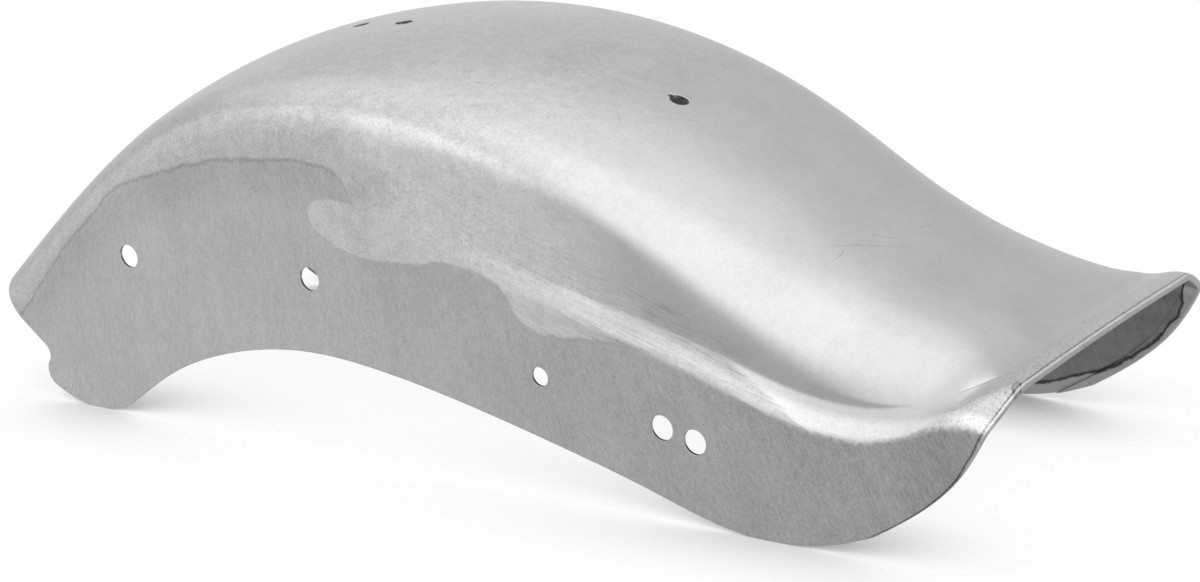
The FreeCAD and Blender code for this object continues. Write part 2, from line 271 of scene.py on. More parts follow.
class SectionMaker:
    """Works out the fender's sections from its sizes."""

    def __init__(self, shape: Shape) -> None:
        """Keep the sizes."""
        self.shape = shape

    def upper_part(self, station: float, foot_depth: float) -> list[Point]:
        """Points over the crown, round the shoulder and down the side to its foot.

        Args:
            station: where the section is.
            foot_depth: how far the side's foot lies below the crown, where there is room.

        Returns:
            (distance from the middle, depth below the crown) points.
        """
        s = self.shape
        drop = value_at(s.drop, station)
        reach = value_at(s.reach, station)
        foot_side = s.half_width - max(0.0, value_at(s.inset, station))
        top_side = foot_side - max(0.0, value_at(s.lean, station))
        shoulder_side = top_side - reach
        sides = [shoulder_side * share for share in (*s.crown_shares, 1.0)]
        points = [(side, drop * (side / s.drop_at) ** 2) for side in sides]
        shoulder = points.pop()
        fall = 2 * drop * shoulder_side / s.drop_at**2
        corner = (top_side, shoulder[1] + fall * reach)
        foot = (foot_side, max(foot_depth, corner[1] + s.least_wall))
        wall = foot[1] - corner[1]
        side_start = between(corner, foot, min(reach / wall, value_at(s.round_share, station)))
        first_pull = between(shoulder, corner, s.shoulder_pull)
        second_pull = between(side_start, corner, s.shoulder_pull)
        for t in s.shoulder_shares:
            weights = ((1 - t) ** 3, 3 * t * (1 - t) ** 2, 3 * t**2 * (1 - t), t**3)
            corners = (shoulder, first_pull, second_pull, side_start)
            side = sum(w * c[0] for w, c in zip(weights, corners))
            depth = sum(w * c[1] for w, c in zip(weights, corners))
            points.append((side, depth))

        curl_share = min(s.curl / math.dist(side_start, foot), 0.5)
        curl = between(foot, side_start, curl_share)
        points += [between(side_start, curl, 0.5), curl, foot]
        flat = 1.0 - ease(wall, *s.flat_wall)
        start = len(s.crown_shares)
        for step, (side, depth) in enumerate(points[start:]):
            points[start + step] = (side + flat * step * s.side_spread, depth)
        return points

    def ledge(self, station: float, foot: Point, edge_depth: float) -> list[Point]:
        """Points out over the ledge, or the raised band round the tail, to the skirt.

        Args:
            station: where the section is.
            foot: the side's foot, where the ledge starts.
            edge_depth: how far the ledge's outer edge lies below the crown.

        Returns:
            (distance from the middle, depth below the crown) points.
        """
        s = self.shape
        edge = (s.half_width, edge_depth)
        ledge_ridge = between(foot, edge, s.ridge_share)
        band_ridge = (
            s.half_width - value_at(s.ridge_inset, station),
            value_at(s.crown, station) - value_at(s.ridge, station),
        )
        ridge = between(ledge_ridge, band_ridge, ease(station, *s.band_blend))
        tail_share = ease(station, s.band_rounding_station, s.tail)
        length = math.dist(ridge, edge)
        rounding = min(s.rounding + s.rounding * tail_share, s.rounding_limit * length)
        return [
            between(foot, ridge, 0.5),
            ridge,
            between(ridge, edge, 0.5),
            between(edge, ridge, rounding / length),
            edge,
            (s.half_width, edge_depth + rounding + s.tail_rounding * tail_share),
        ]

    def depths(self, station: float) -> list[Point]:
        """Half a section, from the crown's middle to the top of the flat skirt.

        Args:
            station: where the section is.

        Returns:
            (distance from the middle, depth below the crown) points.
        """
        s = self.shape
        foot_depth = s.front_foot_depth
        edge_depth = foot_depth + s.front_ledge_height
        if station >= s.ledge_station:
            crown = value_at(s.crown, station)
            edge_depth = crown - value_at(s.edge, station)
            foot_depth = crown - value_at(s.foot, station)
        points = self.upper_part(station, foot_depth)
        return points + self.ledge(station, points[-1], edge_depth)

    def lean_back(self, station: float, height: float) -> float:
        """Work out how far a section bends forward, to run along the slanted rim.

        Args:
            station: where the section is.
            height: height of the point that moves.

        Returns:
            How far that point moves towards the front.
        """
        s = self.shape
        setback = value_at(s.setback, height)
        low, high = s.skirt_lean
        skirt_share = min(max((station - low) / (high - low), 0.0), 1.0)
        tail_part = ease(station, *s.tail_lean) * min(setback, s.tail_setback)
        return tail_part + skirt_share * max(setback - s.tail_setback, 0.0)

    def half_section(self, station: float) -> list[tuple[float, float, float]]:
        """Half a section in space.

        Args:
            station: where the section is.

        Returns:
            (station, side, height) points, from the crown's middle to below the floor.
        """
        s = self.shape
        crown = value_at(s.crown, station)
        tilt = 0.0
        if station < s.front_lean_station:
            tilt = max(0.0, s.crown_slope(station))
        points = self.depths(station)
        last = points[-1][1]
        bottom = (crown + s.trim) / math.cos(tilt)
        for share in s.skirt_shares:
            points.append((s.half_width, last + (bottom - last) * share))
        placed = []
        for side, depth in points:
            x = station + depth * math.sin(tilt)
            z = crown - depth * math.cos(tilt)
            placed.append((x - self.lean_back(station, z), side, z))
        return placed

    def whole_section(self, station: float) -> np.ndarray:
        """Section from one skirt's bottom over the crown to the other's."""
        half = np.array(self.half_section(station))
        return np.concatenate([half[:0:-1] * (1.0, -1.0, 1.0), half])


class SheetNet:
    """Nets of control points for the outside and the inside of the hemmed sheet."""

    def __init__(self, shape: Shape) -> None:
        """Work out both nets.

        Args:
            shape: the sheet's sizes.
        """
        maker = SectionMaker(shape)
        hem_stations = [shape.tail - distance for distance in shape.hem_sections]
        stations = [*shape.stations, *hem_stations, shape.tail]
        rows = np.array([maker.whole_section(station) for station in stations])
        steps = self.inward_steps(rows)
        rim = len(rows) - 1
        hem = list(range(rim - 1, rim - 1 - len(hem_stations), -1))
        folded = 2 * shape.sheet + shape.hem_gap
        under_gap = shape.sheet + shape.hem_gap
        outside = [*rows]
        outside.append(rows[rim] + steps[rim] * folded / 2)
        for index in [rim, *hem]:
            outside.append(rows[index] + steps[index] * folded)
        inside = [rows[index] + steps[index] * under_gap for index in reversed(hem)]
        crease = maker.whole_section(shape.tail - shape.fold_inside)
        inside.append(crease + steps[rim - 1] * (shape.sheet + shape.hem_gap / 2))
        for index in range(rim - 1, -1, -1):
            inside.append(rows[index] + steps[index] * shape.sheet)
        self.outside = np.array(outside)
        self.inside = np.array(inside)

    @staticmethod
    def inward_steps(rows: np.ndarray) -> np.ndarray:
        """Work out the step into the fender that thickens the sheet by one.

        Args:
            rows: sections along the fender.

        Returns:
            The step at every point of the sections.
        """
        along = np.empty_like(rows)
        along[1:-1] = rows[2:] - rows[:-2]
        along[0] = rows[1] - rows[0]
        along[-1] = rows[-1] - rows[-2]
        across = rows[:, 1:] - rows[:, :-1]
        before = np.concatenate([across[:, :1], across], axis=1)
        after = np.concatenate([across, across[:, -1:]], axis=1)
        first = np.cross(along, before)
        first /= np.linalg.norm(first, axis=2, keepdims=True)
        second = np.cross(along, after)
        second /= np.linalg.norm(second, axis=2, keepdims=True)
        both = first + second
        return -both / (1.0 + (first * second).sum(axis=2, keepdims=True))


class SmoothSurface:
    """Smooth cubic surface over a net of control points."""

    LOOKS_PER_SPAN = 6

    def __init__(self, net: np.ndarray) -> None:
        """Keep the net."""
        self.net = net

    @staticmethod
    def weights(count: int, places: np.ndarray) -> np.ndarray:
        """How much each control point counts at each place along the net.

        Args:
            count: number of control points.
            places: places from 0 to count - 3.

        Returns:
            One row of weights for each place.
        """
        knots = np.concatenate([[0.0] * 3, np.arange(count - 2), [count - 3.0] * 3])
        places = np.clip(places, 0.0, count - 3 - TINY)
        table = np.zeros((len(places), len(knots) - 1))
        table[np.arange(len(places)), np.floor(places).astype(int) + 3] = 1.0
        for degree in (1, 2, 3):
            new = np.zeros((len(places), table.shape[1] - 1))
            for k in range(new.shape[1]):
                left = knots[k + degree] - knots[k]
                right = knots[k + degree + 1] - knots[k + 1]
                if left > 0:
                    new[:, k] += (places - knots[k]) / left * table[:, k]
                if right > 0:
                    new[:, k] += (knots[k + degree + 1] - places) / right * table[:, k + 1]
            table = new
        return table

    def points(self, along: np.ndarray, across: np.ndarray) -> np.ndarray:
        """Work out a grid of surface points.

        Args:
            along: places along the net.
            across: places across it.

        Returns:
            The points, by place along and place across.
        """
        rows = self.weights(self.net.shape[0], along)
        columns = self.weights(self.net.shape[1], across)
        return np.einsum("ir,rck,jc->ijk", rows, self.net, columns)

    def places(self, direction: int, spacing: float, turn: float) -> np.ndarray:
        """Places along one direction, closer together where the surface bends.

        Args:
            direction: 0 along the fender, 1 across it.
            spacing: largest step between places, in millimetres.
            turn: largest turn between places, in degrees.

        Returns:
            The places.
        """
        fine = self.LOOKS_PER_SPAN
        spans = [size - 3 for size in self.net.shape[:2]]
        steps = [np.linspace(0, span, span * fine + 1) for span in spans]
        grid = self.points(*steps)
        if direction == 1:
            grid = grid.transpose(1, 0, 2)
        moves = np.diff(grid, axis=0)
        lengths = np.linalg.norm(moves, axis=2)
        units = moves / np.maximum(lengths, TINY)[..., None]
        cosines = np.clip((units[1:] * units[:-1]).sum(axis=2), -1, 1)
        turns = np.degrees(np.arccos(cosines))
        turns = np.concatenate([turns, turns[-1:]])
        chosen = [0.0]
        for span in range(spans[direction]):
            part = slice(span * fine, (span + 1) * fine)
            length = lengths[part].sum(axis=0).max()
            bend = turns[part].sum(axis=0).max()
            pieces = max(1, math.ceil(length / spacing), math.ceil(bend / turn))
            chosen += [span + (k + 1) / pieces for k in range(pieces)]
        return np.array(chosen)


class NodeBench:
    """Adds nodes to a tree in one way."""

    def __init__(self, tree: bpy.types.NodeTree) -> None:
        """Keep the tree."""
        self.tree = tree

    def node(
        self, kind: str, settings: dict | None = None, inputs: dict | None = None
    ) -> bpy.types.Node:
        """Add a node.

        Args:
            kind: the node's type.
            settings: its own settings, set first. "curve" gives a curve its points.
            inputs: values or links of its sockets, by name or number.

        Returns:
            The node.
        """
        node = self.tree.nodes.new(kind)
        for name, value in (settings or {}).items():
            if name == "curve":
                self.fill_curve(node.mapping, value)
            else:
                setattr(node, name, value)
        for name, value in (inputs or {}).items():
            socket = node.inputs[name]
            values = value if isinstance(value, list) else [value]
            for one in values:
                if isinstance(one, Wire):
                    self.tree.links.new(one.socket, socket)
                elif isinstance(one, bpy.types.NodeSocket):
                    self.tree.links.new(one, socket)
                else:
                    socket.default_value = one
        return node

    @staticmethod
    def fill_curve(mapping: bpy.types.CurveMapping, points: Line) -> None:
        """Give a curve its points. A new curve has two already.

        Args:
            mapping: the node's curve.
            points: the points, from 0 to 1 each way.
        """
        curve = mapping.curves[0]
        for index, point in enumerate(points):
            if index < 2:
                curve.points[index].location = point
            else:
                curve.points.new(*point)
        mapping.update()


@dataclass(frozen=True)
class Wire:
    """A number in a shader that can be used in sums."""

    bench: "ShaderBench"
    socket: bpy.types.NodeSocket

    def __add__(self, other: "Wire | float") -> "Wire":
        """Sum."""
        return self.bench.math("ADD", self, other)

    __radd__ = __add__

    def __sub__(self, other: "Wire | float") -> "Wire":
        """Difference."""
        return self.bench.math("SUBTRACT", self, other)

    def __rsub__(self, other: float) -> "Wire":
        """Difference from a number."""
        return self.bench.math("SUBTRACT", other, self)

    def __mul__(self, other: "Wire | float") -> "Wire":
        """Product."""
        return self.bench.math("MULTIPLY", self, other)

    __rmul__ = __mul__

    def __truediv__(self, other: "Wire | float") -> "Wire":
        """Quotient."""
        return self.bench.math("DIVIDE", self, other)

    def absolute(self) -> "Wire":
        """Size without sign."""
        return self.bench.math("ABSOLUTE", self, 0.0)

    def at_least(self, other: "Wire | float") -> "Wire":
        """The larger of the two."""
        return self.bench.math("MAXIMUM", self, other)


class ShaderBench(NodeBench):
    """Adds shader nodes to a material or a world."""

    def __init__(self, owner: bpy.types.Material | bpy.types.World) -> None:
        """Start the tree afresh.

        Args:
            owner: what the tree belongs to.
        """
        owner.use_nodes = True
        super().__init__(owner.node_tree)
        self.tree.nodes.clear()

    def wire(self, node: bpy.types.Node, output: int | str) -> Wire:
        """Take one output of a node for sums."""
        return Wire(self, node.outputs[output])

    def math(self, operation: str, first: Wire | float, second: Wire | float) -> Wire:
        """Work out one sum on two numbers."""
        node = self.node("ShaderNodeMath", {"operation": operation}, {0: first, 1: second})
        return self.wire(node, 0)

    def step(self, value: Wire, low: float, high: float) -> Wire:
        """Rise smoothly from 0 to 1, or fall from 1 to 0 where low is the larger.

        Args:
            value: the number that is looked at.
            low: where the result is 0.
            high: where it is 1.

        Returns:
            The result, from 0 to 1.
        """
        limits = (low, high) if low < high else (high, low)
        node = self.node(
            "ShaderNodeMapRange",
            {"interpolation_type": "SMOOTHSTEP"},
            {"Value": value, "From Min": limits[0], "From Max": limits[1]},
        )
        rise = self.wire(node, 0)
        return rise if low < high else 1 - rise

    def mix(self, share: Wire, first: Wire | float, second: Wire | float) -> Wire:
        """Go from the first number to the second as the share rises from 0 to 1."""
        node = self.node("ShaderNodeMix", {"data_type": "FLOAT"}, {0: share, 2: first, 3: second})
        return self.wire(node, 0)

    def length(self, x: Wire, y: Wire) -> Wire:
        """Length of the slanted side of a right-angled triangle."""
        return self.math("POWER", x * x + y * y, 0.5)

    def vector(
        self, x: Wire | float, y: Wire | float, z: Wire | float
    ) -> bpy.types.NodeSocket:
        """Put three numbers together."""
        return self.node("ShaderNodeCombineXYZ", inputs={0: x, 1: y, 2: z}).outputs[0]

    def parts(self, vector: bpy.types.NodeSocket) -> list[Wire]:
        """Take a vector's three numbers apart."""
        axes = self.node("ShaderNodeSeparateXYZ", inputs={0: vector})
        return [self.wire(axes, number) for number in range(3)]


@dataclass(frozen=True)
class Noise:
    """A cloudy pattern: clouds per millimetre, finer layers, and how much those count."""

    scale: float
    detail: float = 3.0
    rough: float = 0.5


class SteelBench(ShaderBench):
    """Adds shader nodes that read where they are on the fender, in millimetres."""

    def __init__(self, material: bpy.types.Material, middle: float) -> None:
        """Read the piece's own coordinates.

        Args:
            material: the steel.
            middle: station of the fender's middle.
        """
        super().__init__(material)
        coordinates = self.node("ShaderNodeTexCoord")
        scaled = self.node(
            "ShaderNodeVectorMath",
            {"operation": "SCALE"},
            {0: coordinates.outputs["Object"], "Scale": 1 / MM},
        )
        self.place = scaled.outputs[0]
        x, self.y, self.z = self.parts(self.place)
        self.station = x + middle
        self.side = self.y.absolute()

    def noise(self, pattern: Noise, place: bpy.types.NodeSocket | None = None) -> Wire:
        """Draw a cloudy pattern from 0 to 1.

        Args:
            pattern: its size and fineness.
            place: where to read it, if not at the place on the fender.

        Returns:
            The pattern.
        """
        inputs = {
            "Vector": self.place if place is None else place,
            "Scale": pattern.scale,
            "Detail": pattern.detail,
            "Roughness": pattern.rough,
        }
        return self.wire(self.node("ShaderNodeTexNoise", inputs=inputs), 0)

    def swing(self, pattern: Noise, place: bpy.types.NodeSocket | None = None) -> Wire:
        """Draw a cloudy pattern about 0."""
        return self.noise(pattern, place) - 0.5

    def line(self, value: Wire, points: Line) -> Wire:
        """Read a drawn line, such as the border of a ground patch.

        Args:
            value: place along the line, in millimetres.
            points: (place, height) points of the line.

        Returns:
            The line's height there.
        """
        places, heights = zip(*points)
        low, wide = min(places), max(places) - min(places)
        base, tall = min(heights), max(heights) - min(heights)
        curve = tuple(((x - low) / wide, (h - base) / tall) for x, h in points)
        node = self.node(
            "ShaderNodeFloatCurve", {"curve": curve}, {"Value": (value - low) / wide}
        )
        return self.wire(node, 0) * tall + base


class SheetForm:
    """Builds the closed, hemmed sheet and the block that trims it, as plain meshes."""

    LEAST_ARC_STEPS = 4

    def __init__(self, shape: Shape, view: SideView) -> None:
        """Find the middle of the fender's length.

        Args:
            shape: the sheet's sizes.
            view: sizes of its side view.
        """
        self.shape = shape
        self.view = view
        self.middle = (view.front_station(shape) + shape.tail) / 2

    def metres(self, points: np.ndarray) -> np.ndarray:
        """Put (station, side, height) points in millimetres into the shared frame."""
        return (points - (self.middle, 0.0, 0.0)) * MM

    def sheet_mesh(self, spacing: float, turn: float) -> bpy.types.Mesh:
        """The whole sheet, still too long at the front and the bottom.

        Args:
            spacing: largest edge of a face, in millimetres.
            turn: largest turn from face to face, in degrees.

        Returns:
            A closed mesh.
        """
        nets = SheetNet(self.shape)
        outer = SmoothSurface(nets.outside)
        inner = SmoothSurface(nets.inside)
        across = outer.places(1, spacing, turn)
        grids = [
            outer.points(outer.places(0, spacing, turn), across),
            inner.points(inner.places(0, spacing, turn), across),
        ]
        loop = np.concatenate(grids)
        index = np.arange(loop.shape[0] * loop.shape[1]).reshape(loop.shape[:2])
        following = np.roll(index, -1, axis=0)
        quads = np.stack(
            [index[:, :-1], following[:, :-1], following[:, 1:], index[:, 1:]], axis=2
        )
        faces = quads.reshape(-1, 4).tolist()
        faces.append(index[:, 0][::-1].tolist())
        faces.append(index[:, -1].tolist())
        mesh = bpy.data.meshes.new("pressed_sheet")
        mesh.from_pydata(self.metres(loop.reshape(-1, 3)).tolist(), [], faces)
        mesh.validate()
        return mesh

    def round_run(self, first: Point, middle: Point, last: Point, step: float) -> list[Point]:
        """Points along the arc through three points, without its last one.

        Args:
            first: where the arc starts.
            middle: any point on the way.
            last: where it ends.
            step: largest distance between points, in millimetres.

        Returns:
            The points.
        """
        ax, az = first
        bx, bz = middle
        cx, cz = last
        area = 2 * (ax * (bz - cz) + bx * (cz - az) + cx * (az - bz))
        squares = [ax**2 + az**2, bx**2 + bz**2, cx**2 + cz**2]
        ux = squares[0] * (bz - cz) + squares[1] * (cz - az) + squares[2] * (az - bz)
        uz = squares[0] * (cx - bx) + squares[1] * (ax - cx) + squares[2] * (bx - ax)
        ux, uz = ux / area, uz / area
        radius = math.hypot(ax - ux, az - uz)
        start = math.atan2(az - uz, ax - ux)
        sweep = (math.atan2(cz - uz, cx - ux) - start) % math.tau
        passing = (math.atan2(bz - uz, bx - ux) - start) % math.tau
        if passing > sweep:
            sweep -= math.tau
        count = max(self.LEAST_ARC_STEPS, math.ceil(abs(sweep) * radius / step))
        angles = [start + sweep * k / count for k in range(count)]
        return [(ux + radius * math.cos(a), uz + radius * math.sin(a)) for a in angles]

    def smooth_run(
        self, points: list[Point], start: float, end: float, step: float
    ) -> list[Point]:
        """Points along the smooth line through points, without its last one.

        Args:
            points: points that the line passes.
            start: slope at its start, in radians.
            end: slope at its end, in radians.
            step: largest distance between points, in millimetres.

        Returns:
            The points.
        """
        spans = [math.dist(a, b) for a, b in zip(points, points[1:])]
        count = len(points)
        matrix = np.zeros((count, count))
        right = np.zeros((count, 2))
        matrix[0, 0] = 1.0
        right[0] = (math.cos(start), math.sin(start))
        matrix[-1, -1] = 1.0
        right[-1] = (math.cos(end), math.sin(end))
        for k in range(1, count - 1):
            before, after = spans[k - 1], spans[k]
            matrix[k, k - 1 : k + 2] = (after, 2 * (before + after), before)
            fall = np.subtract(points[k], points[k - 1]) * after / before
            rise = np.subtract(points[k + 1], points[k]) * before / after
            right[k] = 3 * (fall + rise)
        slopes = np.linalg.solve(matrix, right)
        run = []
        for k, span in enumerate(spans):
            pieces = max(1, math.ceil(span / step))
            for t in (part / pieces for part in range(pieces)):
                early = (2 * t**3 - 3 * t**2 + 1) * np.array(points[k])
                early += (t**3 - 2 * t**2 + t) * span * slopes[k]
                late = (3 * t**2 - 2 * t**3) * np.array(points[k + 1])
                late += (t**3 - t**2) * span * slopes[k + 1]
                run.append(tuple(early + late))
        return run

    def outline(self, step: float) -> list[Point]:
        """Outline in side view of all that stays of the sheet.

        Args:
            step: largest distance between points, in millimetres.

        Returns:
            Its points, in order.
        """
        v = self.view

        def foot(station: float, contact: float, radius: float) -> Point:
            """Point of a round foot that touches the floor at its contact."""
            return (station, radius - math.sqrt(radius**2 - (station - contact) ** 2))

        trim = self.shape.trim
        start = self.shape.crown[0][0] - 2 * trim
        toe = foot(v.front_ends[0], v.front_contact, v.front_radius)
        heel = foot(v.front_ends[1], v.front_contact, v.front_radius)
        rear = (v.rear_contact, 0.0)
        highest = max(height for _, height in self.shape.crown) + 2 * trim
        last = self.shape.tail + 2 * trim
        slope = math.radians(v.rear_slope)
        end = (last, v.rear_foot[-1][1] + (last - v.rear_foot[-1][0]) * math.tan(slope))
        arch_slope = math.atan2(v.arch[0][1] - heel[1], v.arch[0][0] - heel[0])
        points = [(start, v.cut_height(start))]
        points += self.round_run(*v.notch, step)
        points += self.round_run(v.notch[-1], v.nose_middle, toe, step)
        points += self.round_run(toe, (v.front_contact, 0.0), heel, step)
        points += self.smooth_run([heel, *v.arch, rear], arch_slope, 0.0, step)
        points += self.smooth_run([rear, *v.rear_foot], 0.0, slope, step)
        points += [v.rear_foot[-1], end, (last, highest), (start, highest)]
        return points

    def outline_mesh(self, step: float) -> bpy.types.Mesh:
        """Block wider than the fender, with the fender's side outline.

        Args:
            step: largest distance between points of the outline, in millimetres.

        Returns:
            A closed mesh.
        """
        points = self.outline(step)
        side = self.shape.half_width + self.shape.trim
        near = [(x, -side, z) for x, z in points]
        far = [(x, side, z) for x, z in points]
        count = len(points)
        faces = [list(range(count)), list(range(2 * count - 1, count - 1, -1))]
        for k in range(count):
            after = (k + 1) % count
            faces.append([after, k, count + k, count + after])
        mesh = bpy.data.meshes.new("side_outline")
        mesh.from_pydata(self.metres(np.array(near + far)).tolist(), [], faces)
        return mesh


class CutTree(NodeBench):
    """Geometry nodes that trim the sheet to its outline and drill its holes."""

    DRILL_SIDES = 64

    def __init__(self, form: SheetForm) -> None:
        """Build the tree.

        Args:
            form: the sheet's form, which gives the holes their places.
        """
        super().__init__(bpy.data.node_groups.new("trim_and_drill", "GeometryNodeTree"))
        self.form = form
        sizes = {
            "Strut Hole Radius": form.view.strut_hole / 2,
            "Small Hole Radius": form.view.small_hole / 2,
            "Drill Length": 2 * (form.shape.half_width + form.shape.trim),
        }
        face = self.tree.interface
        face.new_socket("Sheet", in_out="INPUT", socket_type="NodeSocketGeometry")
        face.new_socket("Outline", in_out="INPUT", socket_type="NodeSocketObject")
        for name, size in sizes.items():
            socket = face.new_socket(name, in_out="INPUT", socket_type="NodeSocketFloat")
            socket.default_value = size * MM
        face.new_socket("Finish", in_out="INPUT", socket_type="NodeSocketMaterial")
        face.new_socket("Fender", in_out="OUTPUT", socket_type="NodeSocketGeometry")
        self.entry = self.node("NodeGroupInput")
        outline = self.node("GeometryNodeObjectInfo", inputs={0: self.entry.outputs["Outline"]})
        trimmed = self.node(
            "GeometryNodeMeshBoolean",
            {"operation": "INTERSECT", "solver": "MANIFOLD"},
            {"Mesh 2": [self.entry.outputs["Sheet"], outline.outputs["Geometry"]]},
        )
        drills = self.skirt_drills() + self.crown_drills()
        drilled = self.node(
            "GeometryNodeMeshBoolean",
            {"operation": "DIFFERENCE", "solver": "MANIFOLD"},
            {"Mesh 1": trimmed.outputs["Mesh"], "Mesh 2": drills},
        )
        real = self.node(
            "GeometryNodeRealizeInstances", inputs={0: drilled.outputs["Mesh"]}
        )
        dressed = self.node(
            "GeometryNodeSetMaterial",
            inputs={"Geometry": real.outputs[0], "Material": self.entry.outputs["Finish"]},
        )
        self.node("NodeGroupOutput", inputs={0: dressed.outputs[0]})

    def drill(
        self, radius: float | str, length: float | str, place: Point, tilt: float, side: float
    ) -> bpy.types.NodeSocket:
        """One drill.

        Args:
            radius: in metres, or the name of the input that gives it.
            length: in metres, or the name of the input that gives it.
            place: its middle in side view, in millimetres.
            tilt: turn about the width, in radians.
            side: turn about the length, in radians.

        Returns:
            The drill's mesh.
        """
        sizes = [self.entry.outputs[s] if isinstance(s, str) else s for s in (radius, length)]
        body = self.node(
            "GeometryNodeMeshCylinder",
            inputs={"Vertices": self.DRILL_SIDES, "Radius": sizes[0], "Depth": sizes[1]},
        )
        x, z = (place[0] - self.form.middle) * MM, place[1] * MM
        moved = self.node(
            "GeometryNodeTransform",
            inputs={
                "Geometry": body.outputs["Mesh"],
                "Translation": (x, 0.0, z),
                "Rotation": (side, tilt, 0.0),
            },
        )
        return moved.outputs[0]

    def skirt_drills(self) -> list[bpy.types.NodeSocket]:
        """Drills through both skirts.

        Returns:
            Their meshes.
        """
        sized = [("Strut Hole Radius", hole) for hole in self.form.view.strut_holes]
        sized += [("Small Hole Radius", hole) for hole in self.form.view.small_holes]
        return [self.drill(name, "Drill Length", hole, 0.0, math.pi / 2) for name, hole in sized]

    def crown_drills(self) -> list[bpy.types.NodeSocket]:
        """Drills square to the crown, some with a small notch.

        Returns:
            Their meshes.
        """
        shape = self.form.shape
        length = 2 * shape.trim * MM
        drills = []
        for station, wide, notch in self.form.view.crown_holes:
            tilt = shape.crown_slope(station)
            height = value_at(shape.crown, station)
            drills.append(self.drill(wide / 2 * MM, length, (station, height), -tilt, 0.0))
            if notch:
                place = (
                    station - math.cos(tilt) * wide / 2,
                    height - math.sin(tilt) * wide / 2,
                )
                drills.append(self.drill(notch * MM, length, place, -tilt, 0.0))
        return drills


class Finish(Enum):
    """Names of the finishes."""

    STEEL = "bare_steel"
    FLOOR = "studio_floor"


@dataclass(frozen=True)
class Oval:
    """An oval patch on the skirts: its middle and half sizes, and how its long axis falls."""

    middle: Point
    size: Point
    fall: float = 0.0

    def reach(self, bench: SteelBench) -> Wire:
        """Tell how far out a place lies: 0 in the oval's middle and 1 on its edge.

        Args:
            bench: adds the nodes.

        Returns:
            How far out it lies.
        """
        run = bench.station - self.middle[0]
        rise = bench.z - self.middle[1] + self.fall * run
        return bench.length(run / self.size[0], rise / self.size[1])


@dataclass(frozen=True)
class Stripe:
    """A narrow line: where it runs, where it ends, where it is full, and its strength."""

    place: float
    end: float
    full: float
    strength: float

    def mark(self, bench: SteelBench, value: Wire) -> Wire:
        """Draw it where the value is near its place."""
        off = (value - self.place).absolute()
        return bench.step(off, self.end, self.full) * self.strength


@dataclass(frozen=True)
class Streaks:
    """Long marks in the steel: how close they lie each way, their pattern and strength."""

    across: float
    upward: float
    pattern: Noise
    strength: float


@dataclass(frozen=True)
class Scratch:
    """A straight scratch or stain, drawn on one plane of the fender.

    Sizes are in millimetres, and a darkness below 0 is a bright scratch.
    """

    start: Point
    end: Point
    width: float
    darkness: float
    core: float = 0.2
    taper: float = 4.0

    def mark(self, bench: SteelBench, across: Wire, up: Wire, wander: Wire) -> Wire:
        """Draw it.

        Args:
            bench: adds the nodes.
            across: place along the plane.
            up: the other place on the plane.
            wander: how far the scratch strays to its side.

        Returns:
            How much darker it makes the steel.
        """
        run = (self.end[0] - self.start[0], self.end[1] - self.start[1])
        length = math.hypot(*run)
        unit = (run[0] / length, run[1] / length)
        dx, dy = across - self.start[0], up - self.start[1]
        along = dx * unit[0] + dy * unit[1] - length / 2
        beside = dx * unit[1] - dy * unit[0] + wander
        on_line = bench.step(beside.absolute(), self.width, self.width * self.core)
        inside = bench.step(along.absolute(), length / 2, length / 2 - self.taper)
        return on_line * inside * self.darkness


@dataclass(frozen=True)
class Scratches:
    """All scratches of one plane, which stray a little from straight lines."""

    lines: tuple[Scratch, ...]
    wander: Noise = Noise(0.05, 1.0)
    stray: float = 6.0

    def marks(self, bench: SteelBench, across: Wire, up: Wire) -> Wire:
        """Draw them all, at places along and up the plane, as darkness of the steel."""
        wander = bench.swing(self.wander) * self.stray
        return sum(line.mark(bench, across, up, wander) for line in self.lines)


